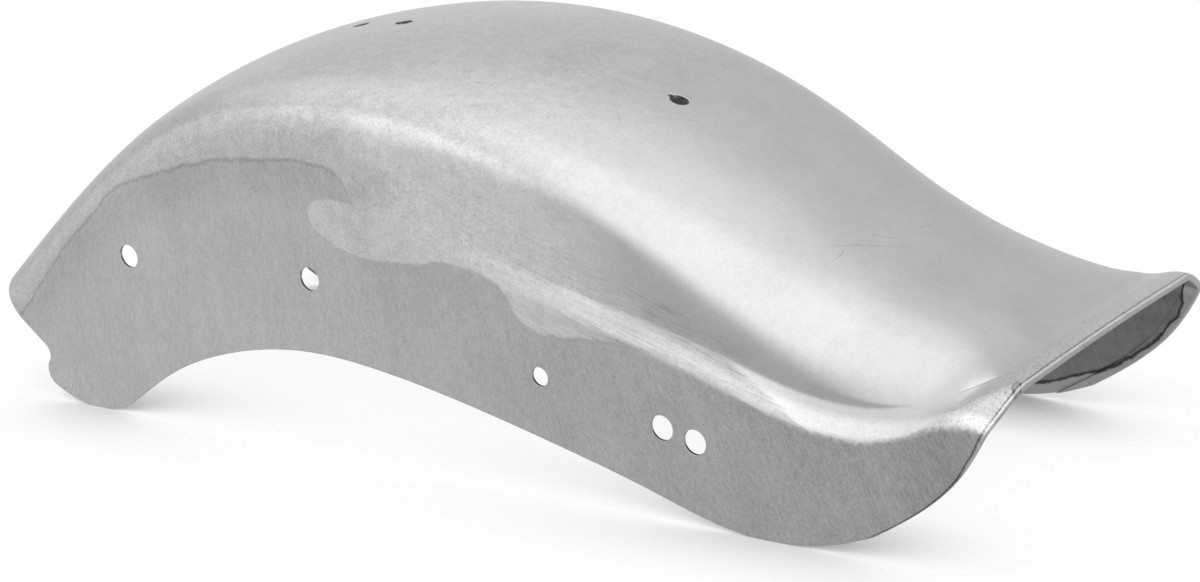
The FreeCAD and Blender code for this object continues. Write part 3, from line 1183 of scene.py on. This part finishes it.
@dataclass(frozen=True)
class GroundSkirt:
    """Lower part of the skirts, ground by a belt up to a ragged border, with painted shade to the
    rear.
    """

    border: Line = (
        (-110, 8), (-48, 58), (-17, 91), (12, 116), (37, 134), (74, 146.5), (113, 155.5),
        (160, 161.5), (190, 161), (199, 157), (204, 148), (210, 134), (215, 114), (247, 114.5),
        (268, 116), (290, 112.5), (300, 106), (308, 93), (326, 87), (351, 88.7), (371, 89),
        (408, 81), (425, 75.5), (446, 67), (468, 60.8), (495, 57.8), (513, 59.8), (526, 64.8),
        (541, 71), (574, 74),
    )
    fine_rags: Noise = Noise(0.35, 4.0, 0.6)
    fine_rag_size: float = 5.0
    broad_rags: Noise = Noise(0.04)
    broad_rag_size: float = 8.0
    mean_rag: float = 6.5
    border_fade: Point = (-1.2, 1.6)
    sides: Point = (90.0, 98.0)
    tongue: Oval = Oval((203, 127.5), (29, 13.5), 0.2)
    tongue_rags: float = 0.03
    mean_tongue_rag: float = 0.2
    tongue_fade: Point = (0.93, 1.06)
    burnt_line: Stripe = Stripe(1.0, 1.8, 0.2, 0.2)
    shade_depths: Point = (35.0, 7.0)
    shade: float = 0.13
    burnt_stations: Point = (225.0, 180.0)
    grain_lean: Line = ((-110, 0.02), (100, 0.05), (250, 0.2), (400, 0.38), (580, 0.42))
    grain_streaks: tuple[Streaks, ...] = (
        Streaks(0.85, 0.15, Noise(1.0, 2.0, 0.7), 1.05),
        Streaks(0.13, 0.014, Noise(1.0, 3.0, 0.55), 0.42),
    )
    grit: Noise = Noise(0.8, 2.0, 0.6)
    grit_strength: float = 0.85
    # painted shade: the tone falls from the front to the rear foot, standing in for the darker
    # floor that the lower rear skirt reflects
    mean_tone: Line = (
        (-110, 1.24), (0, 1.24), (150, 1.22), (250, 1.13), (330, 1.05), (400, 1.0), (470, 0.9),
        (520, 0.84), (545, 0.74), (562, 0.8), (580, 1.0),
    )
    grain_tone: float = 0.55
    cloud_tone: float = 0.26
    scratches: Scratches = Scratches((
        Scratch((196, 66), (213, 80), 0.4, -0.14), Scratch((201, 70), (222, 76), 0.35, -0.12),
        Scratch((190, 84), (193, 62), 0.4, -0.1), Scratch((60, 96), (66, 70), 0.4, -0.1),
        Scratch((300, 44), (318, 30), 0.35, -0.1), Scratch((420, 30), (426, 12), 0.4, -0.12),
        Scratch((396, 60), (399, 46), 0.4, -0.1), Scratch((505, 40), (512, 22), 0.4, -0.12),
    ))

    def ragged(self, bench: SteelBench) -> Wire:
        """How far the border strays from its smooth line, from about 0 to 13 mm."""
        fine = bench.noise(self.fine_rags) * self.fine_rag_size
        return fine + bench.noise(self.broad_rags) * self.broad_rag_size

    def below_border(self, bench: SteelBench, ragged: Wire) -> Wire:
        """How far a place lies below the ragged border, in millimetres."""
        return bench.line(bench.station, self.border) + ragged - self.mean_rag - bench.z

    def cover(self, bench: SteelBench) -> Wire:
        """Tell the ground part from the smooth rest and from the tongue left in it.

        Args:
            bench: adds the nodes.

        Returns:
            1 where the steel is ground.
        """
        ragged = self.ragged(bench)
        below = bench.step(self.below_border(bench, ragged), *self.border_fade)
        tongue = self.tongue.reach(bench) + ragged * self.tongue_rags - self.mean_tongue_rag
        outside = bench.step(tongue, *self.tongue_fade)
        return below * outside * bench.step(bench.side, *self.sides)

    def burnt_edge(self, bench: SteelBench) -> Wire:
        """Draw the dark line that the belt left along the front, and the shade below it.

        Args:
            bench: adds the nodes.

        Returns:
            How much darker the steel is.
        """
        depth = self.below_border(bench, self.ragged(bench))
        shade = bench.step(depth, *self.shade_depths) * self.shade
        marks = self.burnt_line.mark(bench, depth) + shade
        return marks * bench.step(bench.station, *self.burnt_stations)

    def grain(self, bench: SteelBench) -> Wire:
        """Draw the leaning marks of the belt, about 0 and up to 1 either way.

        Args:
            bench: adds the nodes.

        Returns:
            The marks.
        """
        across = bench.station + bench.line(bench.station, self.grain_lean) * bench.z
        marks = bench.swing(self.grit) * self.grit_strength
        for streaks in self.grain_streaks:
            place = bench.vector(across * streaks.across, bench.y, bench.z * streaks.upward)
            marks = marks + bench.swing(streaks.pattern, place) * streaks.strength
        return marks

    def tone(self, bench: SteelBench, grain: Wire, clouds: Wire) -> Wire:
        """Work out how light the ground steel is, with its painted shade towards the rear.

        Args:
            bench: adds the nodes.
            grain: marks of the belt.
            clouds: broad pattern of the whole sheet.

        Returns:
            The share of the steel's own colour.
        """
        # mean_tone holds the painted shade that darkens the ground skirt towards the rear
        tone = bench.line(bench.station, self.mean_tone)
        tone = tone + grain * self.grain_tone + clouds * self.cloud_tone
        tone = tone - self.scratches.marks(bench, bench.station, bench.z)
        return tone - self.burnt_edge(bench)


@dataclass(frozen=True)
class SmoothSheet:
    """Smooth steel of the crown and the upper sides, with its dirt, pits and scratches, and a
    painted reflection of the bright floor that lightens the upper sides.
    """

    # painted reflection: how much lighter the smooth upper sides are painted, for the bright
    # floor they reflect
    painted_side_light: Line = (
        (-110, 0.22), (150, 0.28), (190, 0.24), (225, 0.46), (290, 0.46), (340, 0.28),
        (390, 0.2), (430, 0.22), (455, 0.42), (500, 0.36), (530, 0.2), (545, -0.06),
        (580, -0.1),
    )
    tongue_heights: Point = (150.0, 143.0)
    tongue_stations: Point = (150.0, 165.0)
    # painted reflection on the smooth tongue left in the ground part
    painted_tongue_light: float = 0.4
    cloud_tone: float = 0.22
    speckle: Noise = Noise(0.75, 2.0, 0.7)
    speckle_strength: float = 1.5
    front: Point = (380.0, 260.0)
    mottle_tone: float = 0.16
    front_mottle_tone: float = 0.3
    side_mottle_tone: float = 0.2
    top: Point = (104.0, 98.0)
    pits: Noise = Noise(0.5, 2.0, 0.6)
    pit_fade: Point = (0.7, 0.76)
    pit_patches: Noise = Noise(0.03, 2.0)
    pit_patch_fade: Point = (0.5, 0.58)
    pit_shade: float = 0.16
    smudge: Oval = Oval((221, 152), (19, 15))
    smudge_fade: Point = (1.1, 0.4)
    dirt: Noise = Noise(0.3, 4.0, 0.7)
    dirt_spread: float = 1.6
    flecks: Noise = Noise(0.42, 3.0, 0.65)
    fleck_fade: Point = (0.6, 0.7)
    fleck_patch: Oval = Oval((275, 150), (60, 9), 0.3)
    fleck_patch_fade: Point = (1.0, 0.5)
    dirt_shade: float = 0.2
    scratches: Scratches = Scratches((
        Scratch((444, -34), (468, 2), 0.5, 0.2), Scratch((450, -10), (461, 4), 0.8, 0.16),
        Scratch((452, -44), (449, -30), 0.5, 0.2), Scratch((459, 20), (462, 34), 0.6, 0.16),
        Scratch((336, -30), (356, -8), 0.5, 0.14), Scratch((334, -22), (350, -6), 0.6, 0.12),
        Scratch((340, -34), (352, -20), 0.4, 0.14), Scratch((322, -34), (334, -44), 0.5, 0.14),
        Scratch((300, -62), (322, -30), 0.35, 0.1), Scratch((236, 18), (262, 40), 0.4, 0.1),
        Scratch((250, -70), (262, -58), 0.5, 0.14), Scratch((205, -52), (232, -66), 0.4, 0.1),
        Scratch((500, -20), (536, 26), 0.3, -0.1), Scratch((395, -8), (440, 34), 0.3, -0.08),
        Scratch((350, -30), (356, -55), 0.4, -0.1), Scratch((214, -94), (226, -80), 0.5, 0.12),
    ))

    def side_light(self, bench: SteelBench) -> Wire:
        """Work out how much lighter the upper side and the tongue are painted than the crown, as
        a painted reflection of the bright floor.

        Args:
            bench: adds the nodes.

        Returns:
            The share that is added.
        """
        tongue = bench.step(bench.z, *self.tongue_heights) * self.painted_tongue_light
        tongue = tongue * bench.step(bench.station, *self.tongue_stations)
        return bench.line(bench.station, self.painted_side_light).at_least(tongue)

    def dirty(self, bench: SteelBench) -> Wire:
        """Tell where the side is dirty: a smudge by the tongue, and flecks behind it.

        Args:
            bench: adds the nodes.

        Returns:
            1 where it is dirty.
        """
        reach = self.smudge.reach(bench) + bench.swing(self.dirt) * self.dirt_spread
        flecks = bench.step(bench.noise(self.flecks), *self.fleck_fade)
        patch = bench.step(self.fleck_patch.reach(bench), *self.fleck_patch_fade)
        return bench.step(reach, *self.smudge_fade) + flecks * patch

    def pitted(self, bench: SteelBench) -> Wire:
        """Tell where small pits are, with 1 in a pit."""
        pits = bench.step(bench.noise(self.pits), *self.pit_fade)
        return pits * bench.step(bench.noise(self.pit_patches), *self.pit_patch_fade)

    def tone(
        self, bench: SteelBench, side: Wire, ground: Wire, clouds: Wire, mottle: Wire
    ) -> Wire:
        """Work out how light the smooth steel is.

        Args:
            bench: adds the nodes.
            side: 1 on the sides and 0 on the crown.
            ground: 1 on the ground part.
            clouds: broad pattern of the whole sheet.
            mottle: finer pattern of the whole sheet.

        Returns:
            The share of the steel's own colour.
        """
        front = bench.step(bench.station, *self.front)
        top = bench.step(bench.side, *self.top)
        patchy = front * self.front_mottle_tone + side * self.side_mottle_tone + self.mottle_tone
        patches = (mottle + bench.swing(self.speckle) * self.speckle_strength) * patchy
        tone = clouds * self.cloud_tone + patches
        # painted reflection of the floor on the smooth upper sides
        tone = tone + side * (1 - ground) * self.side_light(bench) + 1.0
        tone = tone - self.dirty(bench) * self.dirt_shade
        tone = tone - self.pitted(bench) * front * top * self.pit_shade
        return tone - self.scratches.marks(bench, bench.station, bench.y) * top


@dataclass(frozen=True)
class BrushedLedge:
    """Ledge along each skirt, brushed along its length up to a slanted end."""

    low_end: Point = (436.6, 79.2)
    high_end: Point = (470.0, 61.7)
    end_rags: float = 6.0
    end_fade: Point = (5.0, 0.0)
    start_stations: Point = (225.0, 330.0)
    sides: Point = (97.0, 98.5)
    brush: Noise = Noise(1.0, 4.0, 0.65)
    closeness: tuple[float, float, float] = (0.045, 1.2, 1.3)
    brush_fall: float = 0.3
    brush_tone: float = 0.9
    top_station: float = 392.0
    top_heights: Point = (98.0, 94.0)
    shade_stations: Point = (330.0, 380.0)
    shade: float = 0.38
    crease: Oval = Oval((398, 101.52), (44, 6.5), 0.36)
    crease_fade: Point = (1.1, 0.5)
    crease_brush: Streaks = Streaks(0.05, 0.8, Noise(1.0, 3.0, 0.6), 0.2)
    crease_brush_fall: float = 0.42
    crease_brush_fade: Point = (0.5, 0.62)

    def brushing(self, bench: SteelBench) -> tuple[Wire, Wire]:
        """Draw the marks along the ledge, and the part of it that they cover.

        Args:
            bench: adds the nodes.

        Returns:
            The marks, about 0, and the part, where it is 1.
        """
        along, out, up = self.closeness
        height = bench.z + self.brush_fall * bench.station
        marks = bench.noise(
            self.brush, bench.vector(bench.station * along, bench.y * out, height * up)
        )
        (low_x, low_z), (high_x, high_z) = self.low_end, self.high_end
        slope = (high_x - low_x) / (high_z - low_z)
        past_end = bench.station - low_x - (bench.z - low_z) * slope
        brushed = bench.step(past_end + marks * self.end_rags, *self.end_fade)
        brushed = brushed * bench.step(bench.station, *self.start_stations)
        brushed = brushed * bench.step(bench.side, *self.sides)
        return (marks - 0.5) * brushed, brushed

    def crease_marks(self, bench: SteelBench) -> Wire:
        """Draw the dark brush marks in the crease above the ledge.

        Args:
            bench: adds the nodes.

        Returns:
            How much darker the steel is.
        """
        brush = self.crease_brush
        height = bench.z + self.crease_brush_fall * bench.station
        place = bench.vector(bench.station * brush.across, 0.0, height * brush.upward)
        marks = bench.step(bench.noise(brush.pattern, place), *self.crease_brush_fade)
        return marks * bench.step(self.crease.reach(bench), *self.crease_fade) * brush.strength

    def tone(self, bench: SteelBench, marks: Wire, brushed: Wire) -> Wire:
        """Work out what the brushing adds to the smooth steel's tone.

        Args:
            bench: adds the nodes.
            marks: brush marks.
            brushed: 1 where they are.

        Returns:
            The share that is added.
        """
        height = bench.z + self.brush_fall * (bench.station - self.top_station)
        on_ledge = bench.step(height, *self.top_heights)
        shade = brushed * on_ledge * bench.step(bench.station, *self.shade_stations) * self.shade
        return marks * self.brush_tone - shade - self.crease_marks(bench)


@dataclass(frozen=True)
class TailBand:
    """Raised band round the tail: sanded, with a weld mark, and a painted shade line and a
    painted highlight line along the rim's fold.
    """

    sanded_stations: Point = (556.0, 562.0)
    corner: float = 88.0
    corner_slant: float = 1.15
    sanded_rags: Noise = Noise(0.12)
    sanded_rag_size: float = 12.0
    near_sides: Point = (70.0, -40.0)
    near_strength: float = 0.7
    far_strength: float = 0.3
    grit: Noise = Noise(0.75, 3.0, 0.65)
    grit_tone: float = 0.9
    spots: Noise = Noise(0.14, 3.0, 0.6)
    spot_fade: Point = (0.56, 0.66)
    spot_shade: float = 0.14
    sanded_shade: float = 0.06
    weld_middle: Point = (571.5, -84.0)
    weld_size: Point = (2.4, 4.6)
    weld_slant: float = 0.35
    weld_rags: float = 0.3
    weld_ring: Stripe = Stripe(0.85, 0.3, 0.05, 0.36)
    weld_fade: Point = (1.0, 0.7)
    weld_shade: float = 0.2
    # painted shade and painted highlight along the rounded fold of the rim
    painted_shade_line: Stripe = Stripe(1.9, 0.8, 0.2, 0.5)
    painted_highlight_line: Stripe = Stripe(0.5, 0.7, 0.1, 0.3)

    def sanded(self, bench: SteelBench) -> Wire:
        """Tell the sanded part.

        Args:
            bench: adds the nodes.

        Returns:
            1 where it is sanded.
        """
        outer = (bench.side - self.corner).at_least(0.0)
        rags = bench.swing(self.sanded_rags) * self.sanded_rag_size
        place = bench.station + outer * self.corner_slant + rags
        return bench.step(place, *self.sanded_stations)

    def weld(self, bench: SteelBench, grit: Wire) -> Wire:
        """Draw the round weld mark at the near corner.

        Args:
            bench: adds the nodes.
            grit: marks of the sanding.

        Returns:
            How much darker the steel is.
        """
        out = bench.y - self.weld_middle[1]
        along = bench.station - self.weld_middle[0] + self.weld_slant * out
        reach = bench.length(along / self.weld_size[0], out / self.weld_size[1])
        ring = self.weld_ring.mark(bench, reach + grit * self.weld_rags)
        return ring + bench.step(reach, *self.weld_fade) * self.weld_shade

    def rim(self, bench: SteelBench, shape: Shape) -> Wire:
        """Draw the painted shade line and the painted highlight line that follow the rim's fold.

        Args:
            bench: adds the nodes.
            shape: the sheet's sizes.

        Returns:
            The share that is added.
        """
        rim_line = tuple((height, shape.tail - back) for height, back in shape.setback)
        inward = bench.line(bench.z, rim_line) - bench.station
        # painted highlight added, painted shade taken off, along the rim
        return self.painted_highlight_line.mark(bench, inward) - self.painted_shade_line.mark(bench, inward)

    def tone(self, bench: SteelBench, shape: Shape, sanded: Wire, grit: Wire) -> Wire:
        """Work out what the band's marks add to the steel's tone.

        Args:
            bench: adds the nodes.
            shape: the sheet's sizes.
            sanded: 1 where it is sanded.
            grit: marks of the sanding.

        Returns:
            The share that is added.
        """
        spots = bench.step(bench.noise(self.spots), *self.spot_fade) * self.spot_shade
        near = bench.step(bench.y, *self.near_sides) * self.near_strength + self.far_strength
        marks = sanded * near * (grit * self.grit_tone - spots - self.sanded_shade)
        # the rim adds painted highlight and painted shade
        return marks - self.weld(bench, grit) + self.rim(bench, shape)


@dataclass(frozen=True)
class Lining:
    """Inner face of the sheet, painted darker as shade, with the folded hem inside the tail and a
    painted shadow along its edge.
    """

    hem_line: Line = (
        (-90, 102.5), (-81, 102.9), (-68, 102.4), (-62, 103.8), (-56, 105.1), (-50, 106.8),
        (-43.8, 108.7), (-37.3, 111.1), (-31.3, 112), (-27.2, 113.6), (-23.2, 111.5),
        (-18.9, 109.3), (-10, 106),
    )
    hem_centre: Point = (455.0, 110.0)
    hem_stations: Point = (440.0, 470.0)
    hem_rags: Noise = Noise(0.12, 3.0, 0.6)
    hem_rag_size: float = 3.5
    # painted shadow under the hem's raw edge: its width, fade and darkness
    line_widths: Noise = Noise(0.1, 2.0)
    line_width: float = 1.6
    line_fade: Point = (0.7, -0.5)
    line_shade: float = 0.75
    band_fade: Point = (0.0, 0.8)
    band_tone: float = 0.42
    # painted shade: the inner face is painted darker than the outer one
    mean_tone: float = 0.56
    grain_tone: float = 0.14
    mottle_tone: float = 0.42
    centre_height: float = 20.0
    inward_fade: Point = (-8.0, -20.0)

    def cover(self, bench: SteelBench) -> Wire:
        """Tell the inner face from the outer one by the way it looks.

        Args:
            bench: adds the nodes.

        Returns:
            1 on the inner face.
        """
        geometry = bench.node("ShaderNodeNewGeometry")
        _, out, up = bench.parts(geometry.outputs["Normal"])
        outward = out * bench.y + up * (bench.z - self.centre_height)
        return bench.step(outward, *self.inward_fade)

    def hem(self, bench: SteelBench) -> tuple[Wire, Wire]:
        """Draw the folded hem inside the tail, with a painted shadow along its raw edge.

        Args:
            bench: adds the nodes.

        Returns:
            Its dark line, a painted shadow under the hem's raw edge, and the band outside it.
        """
        run, rise = bench.station - self.hem_centre[0], bench.z - self.hem_centre[1]
        angle = bench.math("ARCTAN2", rise, run) * (180 / math.pi)
        rags = bench.swing(self.hem_rags) * self.hem_rag_size
        past = bench.length(run, rise) - bench.line(angle, self.hem_line) + rags
        width = bench.noise(self.line_widths) * self.line_width
        behind = bench.step(bench.station, *self.hem_stations)
        # painted shadow line under the hem's raw edge
        dark = bench.step(past.absolute() - width, *self.line_fade) * behind
        return dark, bench.step(past, *self.band_fade) * behind

    def tone(self, bench: SteelBench, grain: Wire, mottle: Wire) -> Wire:
        """Work out how light the inner face is, with its painted shade.

        Args:
            bench: adds the nodes.
            grain: marks of the grinding belt.
            mottle: fine pattern of the whole sheet.

        Returns:
            The share of the steel's own colour.
        """
        dark, band = self.hem(bench)
        tone = grain * self.grain_tone + mottle * self.mottle_tone + band * self.band_tone
        # darkened by the hem's painted shadow line
        return (tone + self.mean_tone) * (1 - dark * self.line_shade)


@dataclass(frozen=True)
class BareSteel:
    """Bare sheet steel: its colour, its roughness, and the parts that are worked."""

    colour: tuple[float, float, float] = (0.382, 0.382, 0.385)
    smooth_rough: float = 0.29
    ground_rough: float = 0.42
    cloud_rough: float = 0.1
    sanded_rough: float = 0.12
    side_rough: float = 0.1
    clouds: Noise = Noise(0.022, 3.0, 0.55)
    mottle: Noise = Noise(0.16, 4.0, 0.65)
    sides: Point = (100.0, 104.0)
    brush_height: float = 1.5
    mark_strength: float = 0.2
    mark_depth: float = 0.00006
    edge_round: float = 0.0007
    edge_samples: int = 4
    smooth: SmoothSheet = SmoothSheet()
    skirt: GroundSkirt = GroundSkirt()
    ledge: BrushedLedge = BrushedLedge()
    band: TailBand = TailBand()
    lining: Lining = Lining()

    def shader(self, bench: SteelBench, tone: Wire, rough: Wire, height: Wire) -> None:
        """Join the tone, the roughness and the marks' height in a metal shader.

        Args:
            bench: adds the nodes.
            tone: share of the steel's colour.
            rough: roughness.
            height: height of the marks.
        """
        colour = bench.node(
            "ShaderNodeMix",
            {"data_type": "RGBA", "blend_type": "MULTIPLY"},
            {0: 1.0, 6: (*self.colour, 1.0), 7: bench.vector(tone, tone, tone)},
        )
        rounded = bench.node(
            "ShaderNodeBevel", {"samples": self.edge_samples}, {"Radius": self.edge_round}
        )
        bump = bench.node(
            "ShaderNodeBump",
            inputs={
                "Normal": rounded.outputs[0],
                "Strength": self.mark_strength,
                "Distance": self.mark_depth,
                "Height": height,
            },
        )
        shader = bench.node(
            "ShaderNodeBsdfPrincipled",
            inputs={
                "Base Color": colour.outputs[2],
                "Metallic": 1.0,
                "Roughness": rough,
                "Normal": bump.outputs[0],
            },
        )
        bench.node("ShaderNodeOutputMaterial", inputs={0: shader.outputs[0]})

    def material(self, shape: Shape, middle: float) -> bpy.types.Material:
        """Make the material.

        Args:
            shape: the sheet's sizes.
            middle: station of the fender's middle, in millimetres.

        Returns:
            The material.
        """
        steel = bpy.data.materials.new(Finish.STEEL.value)
        bench = SteelBench(steel, middle)
        clouds = bench.swing(self.clouds)
        mottle = bench.swing(self.mottle)
        side = bench.step(bench.side, *self.sides)
        ground = self.skirt.cover(bench)
        grain = self.skirt.grain(bench)
        marks, brushed = self.ledge.brushing(bench)
        smooth_tone = self.smooth.tone(bench, side, ground, clouds, mottle)
        smooth_tone = smooth_tone + self.ledge.tone(bench, marks, brushed)
        tone = bench.mix(ground, smooth_tone, self.skirt.tone(bench, grain, clouds))
        sanded = self.band.sanded(bench) * (1 - ground)
        grit = bench.swing(self.band.grit)
        tone = tone + self.band.tone(bench, shape, sanded, grit)
        # the inner face takes the lining's tone, with its painted shade
        tone = bench.mix(self.lining.cover(bench), tone, self.lining.tone(bench, grain, mottle))

        rough = ground * (self.ground_rough - self.smooth_rough) + self.smooth_rough
        rough = rough + clouds * self.cloud_rough + sanded * self.sanded_rough
        rough = rough + side * (1 - ground) * self.side_rough
        height = grain * ground + marks * self.brush_height + sanded * grit
        self.shader(bench, tone, rough, height)
        return steel


@dataclass
class FenderShell:
    """The fender: one hemmed sheet of bare steel."""

    shape: Shape
    view: SideView
    steel: BareSteel
    spacing: float = 4.9
    turn: float = 7.8
    outline_step: float = 2.0
    crease: float = 40.0

    def formed(self, form: SheetForm) -> bpy.types.Mesh:
        """Form, trim, drill and dress the sheet.

        Args:
            form: builds the sheet and the block that trims it.

        Returns:
            The finished mesh.
        """
        collection = bpy.context.scene.collection
        block = bpy.data.objects.new("side_outline", form.outline_mesh(self.outline_step))
        blank = bpy.data.objects.new("pressed_sheet", form.sheet_mesh(self.spacing, self.turn))
        collection.objects.link(block)
        collection.objects.link(blank)
        tree = CutTree(form).tree
        modifier = blank.modifiers.new("trim_and_drill", "NODES")
        modifier.node_group = tree
        values = {"Outline": block, "Finish": self.steel.material(self.shape, form.middle)}
        for item in tree.interface.items_tree:
            if item.item_type == "SOCKET" and item.name in values:
                modifier[item.identifier] = values[item.name]
        depsgraph = bpy.context.evaluated_depsgraph_get()
        mesh = bpy.data.meshes.new_from_object(blank.evaluated_get(depsgraph))
        mesh.name = "fender_sheet"
        mesh.shade_smooth()
        mesh.set_sharp_from_angle(angle=math.radians(self.crease))
        for used in (blank, block):
            bpy.data.objects.remove(used)
        return mesh

    def build(self) -> bpy.types.Object:
        """Put the finished sheet in the CAD node's place.

        Returns:
            The piece.
        """
        mesh = self.formed(SheetForm(self.shape, self.view))
        piece = bpy.data.objects.new("fender_sheet", mesh)
        bpy.context.scene.collection.objects.link(piece)
        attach(piece, "root")
        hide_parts("fender_shell")
        mesh.calc_loop_triangles()
        counts = (len(mesh.vertices), len(mesh.loop_triangles))
        log.info("fender_sheet: %d vertices, %d triangles", *counts)
        return piece


@dataclass(frozen=True)
class Shade:
    """A soft shadow on the floor, by how open the air over a place is.

    Reach is how far it looks, in metres. It is full where the open share is shut or less,
    where least of the light is left, and gone where the share is clear or more.
    """

    reach: float
    shut: float
    clear: float
    least: float
    most: float = 0.98


@dataclass(frozen=True)
class LightLayer:
    """A rectangle of soft light: its sides seen from above, in metres."""

    left: float
    right: float
    near: float
    far: float


@dataclass
class Studio:
    """White floor, soft light and the camera of the photograph."""

    focal: float = 3050.0
    frame_width: float = 1200.0
    sensor: float = 36.0
    nearest: float = 0.05
    eye: tuple[float, float, float] = (0.977242, -1.190757, 0.573644)
    right: tuple[float, float, float] = (0.79844171, 0.59482715, -0.09312084)
    down: tuple[float, float, float] = (0.1183048, -0.30665468, -0.94443998)
    ahead: tuple[float, float, float] = (-0.59033449, 0.74306364, -0.31521679)
    white: tuple[float, float, float, float] = (1.0, 1.0, 1.0, 1.0)
    floor_size: float = 30.0
    matt: tuple[float, float, float, float] = (0.62, 0.62, 0.62, 1.0)
    floor_glow: float = 1.02
    mirrored_glow: float = 0.72
    shade_samples: int = 8
    shades: tuple[Shade, ...] = (Shade(0.08, 0.4, 0.97, 0.22), Shade(0.4, 0.03, 0.24, 0.93))
    room_light: float = 0.35
    seen_room: float = 1.0
    light_height: float = 2.5
    layer_gap: float = 0.05
    layer_radiance: float = 0.33
    light_layers: tuple[LightLayer, ...] = (
        LightLayer(-0.4, 3.0, -4.3, 1.2), LightLayer(-1.0, 4.0, -6.4, 2.2),
        LightLayer(-3.0, 5.0, -9.0, 2.5), LightLayer(-5.0, 6.0, -13.0, 2.7),
    )

    def camera(self) -> None:
        """Put the camera where the photograph was taken."""
        lens = bpy.data.cameras.new("camera")
        lens.sensor_width = self.sensor
        lens.lens = self.focal / self.frame_width * self.sensor
        lens.clip_start = self.nearest
        holder = bpy.data.objects.new("camera", lens)
        columns = (Vector(self.right), -Vector(self.down), -Vector(self.ahead))
        turn = Matrix(columns).transposed().to_4x4()
        holder.matrix_world = Matrix.Translation(self.eye) @ turn
        bpy.context.scene.collection.objects.link(holder)
        bpy.context.scene.camera = holder

    def floor_light(self, bench: ShaderBench) -> Wire:
        """Tell how much of its glow a place on the floor shows.

        Args:
            bench: adds the nodes.

        Returns:
            The share: less in the fender's shadow, and least to rays that aren't seen.
        """
        path = bench.node("ShaderNodeLightPath")
        seen = bench.wire(path, "Is Camera Ray")
        for shade in self.shades:
            air = bench.node(
                "ShaderNodeAmbientOcclusion",
                {"samples": self.shade_samples},
                {"Distance": shade.reach},
            )
            light = bench.step(bench.wire(air, "AO"), shade.shut, shade.clear)
            seen = seen * (light * (shade.most - shade.least) + shade.least)
        return seen.at_least(bench.wire(path, "Is Glossy Ray") * self.mirrored_glow)

    def floor(self) -> None:
        """Lay a white floor that keeps the fender's soft shadow."""
        half = self.floor_size / 2
        mesh = bpy.data.meshes.new("floor")
        corners = [(-half, -half, 0), (half, -half, 0), (half, half, 0), (-half, half, 0)]
        mesh.from_pydata(corners, [], [[0, 1, 2, 3]])
        material = bpy.data.materials.new(Finish.FLOOR.value)
        bench = ShaderBench(material)
        matt = bench.node("ShaderNodeBsdfDiffuse", inputs={"Color": self.matt})
        glow = bench.node(
            "ShaderNodeEmission", inputs={"Color": self.white, "Strength": self.floor_glow}
        )
        mixed = bench.node(
            "ShaderNodeMixShader",
            inputs={0: self.floor_light(bench), 1: matt.outputs[0], 2: glow.outputs[0]},
        )
        bench.node("ShaderNodeOutputMaterial", inputs={0: mixed.outputs[0]})
        mesh.materials.append(material)
        plane = bpy.data.objects.new("floor", mesh)
        bpy.context.scene.collection.objects.link(plane)

    def world(self) -> None:
        """Surround the fender with an even white room, brighter to the eye and in the steel."""
        world = bpy.data.worlds.new("studio")
        bench = ShaderBench(world)
        path = bench.node("ShaderNodeLightPath")
        seen = bench.wire(path, "Is Camera Ray")
        for ray in ("Is Glossy Ray", "Is Transmission Ray"):
            seen = seen.at_least(bench.wire(path, ray))
        plain, bright = (
            bench.node("ShaderNodeBackground", inputs={"Color": self.white, "Strength": strength})
            for strength in (self.room_light, self.seen_room)
        )
        mixed = bench.node(
            "ShaderNodeMixShader", inputs={0: seen, 1: plain.outputs[0], 2: bright.outputs[0]}
        )
        bench.node("ShaderNodeOutputWorld", inputs={0: mixed.outputs[0]})
        bpy.context.scene.world = world

    def soft_light(self) -> None:
        """Hang layers of soft light over the fender, so that its edges fade out."""
        for number, layer in enumerate(self.light_layers):
            light = bpy.data.lights.new(f"soft_light_{number}", "AREA")
            light.shape = "RECTANGLE"
            light.size, light.size_y = layer.right - layer.left, layer.far - layer.near
            light.energy = self.layer_radiance * math.pi * light.size * light.size_y
            holder = bpy.data.objects.new(f"soft_light_{number}", light)
            height = self.light_height + self.layer_gap * number
            holder.location = (
                (layer.left + layer.right) / 2, (layer.near + layer.far) / 2, height
            )
            holder.visible_camera = False
            bpy.context.scene.collection.objects.link(holder)

    def build(self) -> None:
        """Set up the whole studio."""
        self.camera()
        self.floor()
        self.world()
        self.soft_light()
        bpy.context.scene.view_settings.view_transform = "Standard"


def main() -> None:
    """Build the studio and the fender, and note the sizes."""
    logging.basicConfig(level=logging.INFO, format="%(message)s")
    log.info("CAD nodes: %d", len(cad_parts))
    Studio().build()
    log.info("studio ready")
    FenderShell(Shape(), SideView(), BareSteel()).build()


if __name__ == "__main__":
    main()
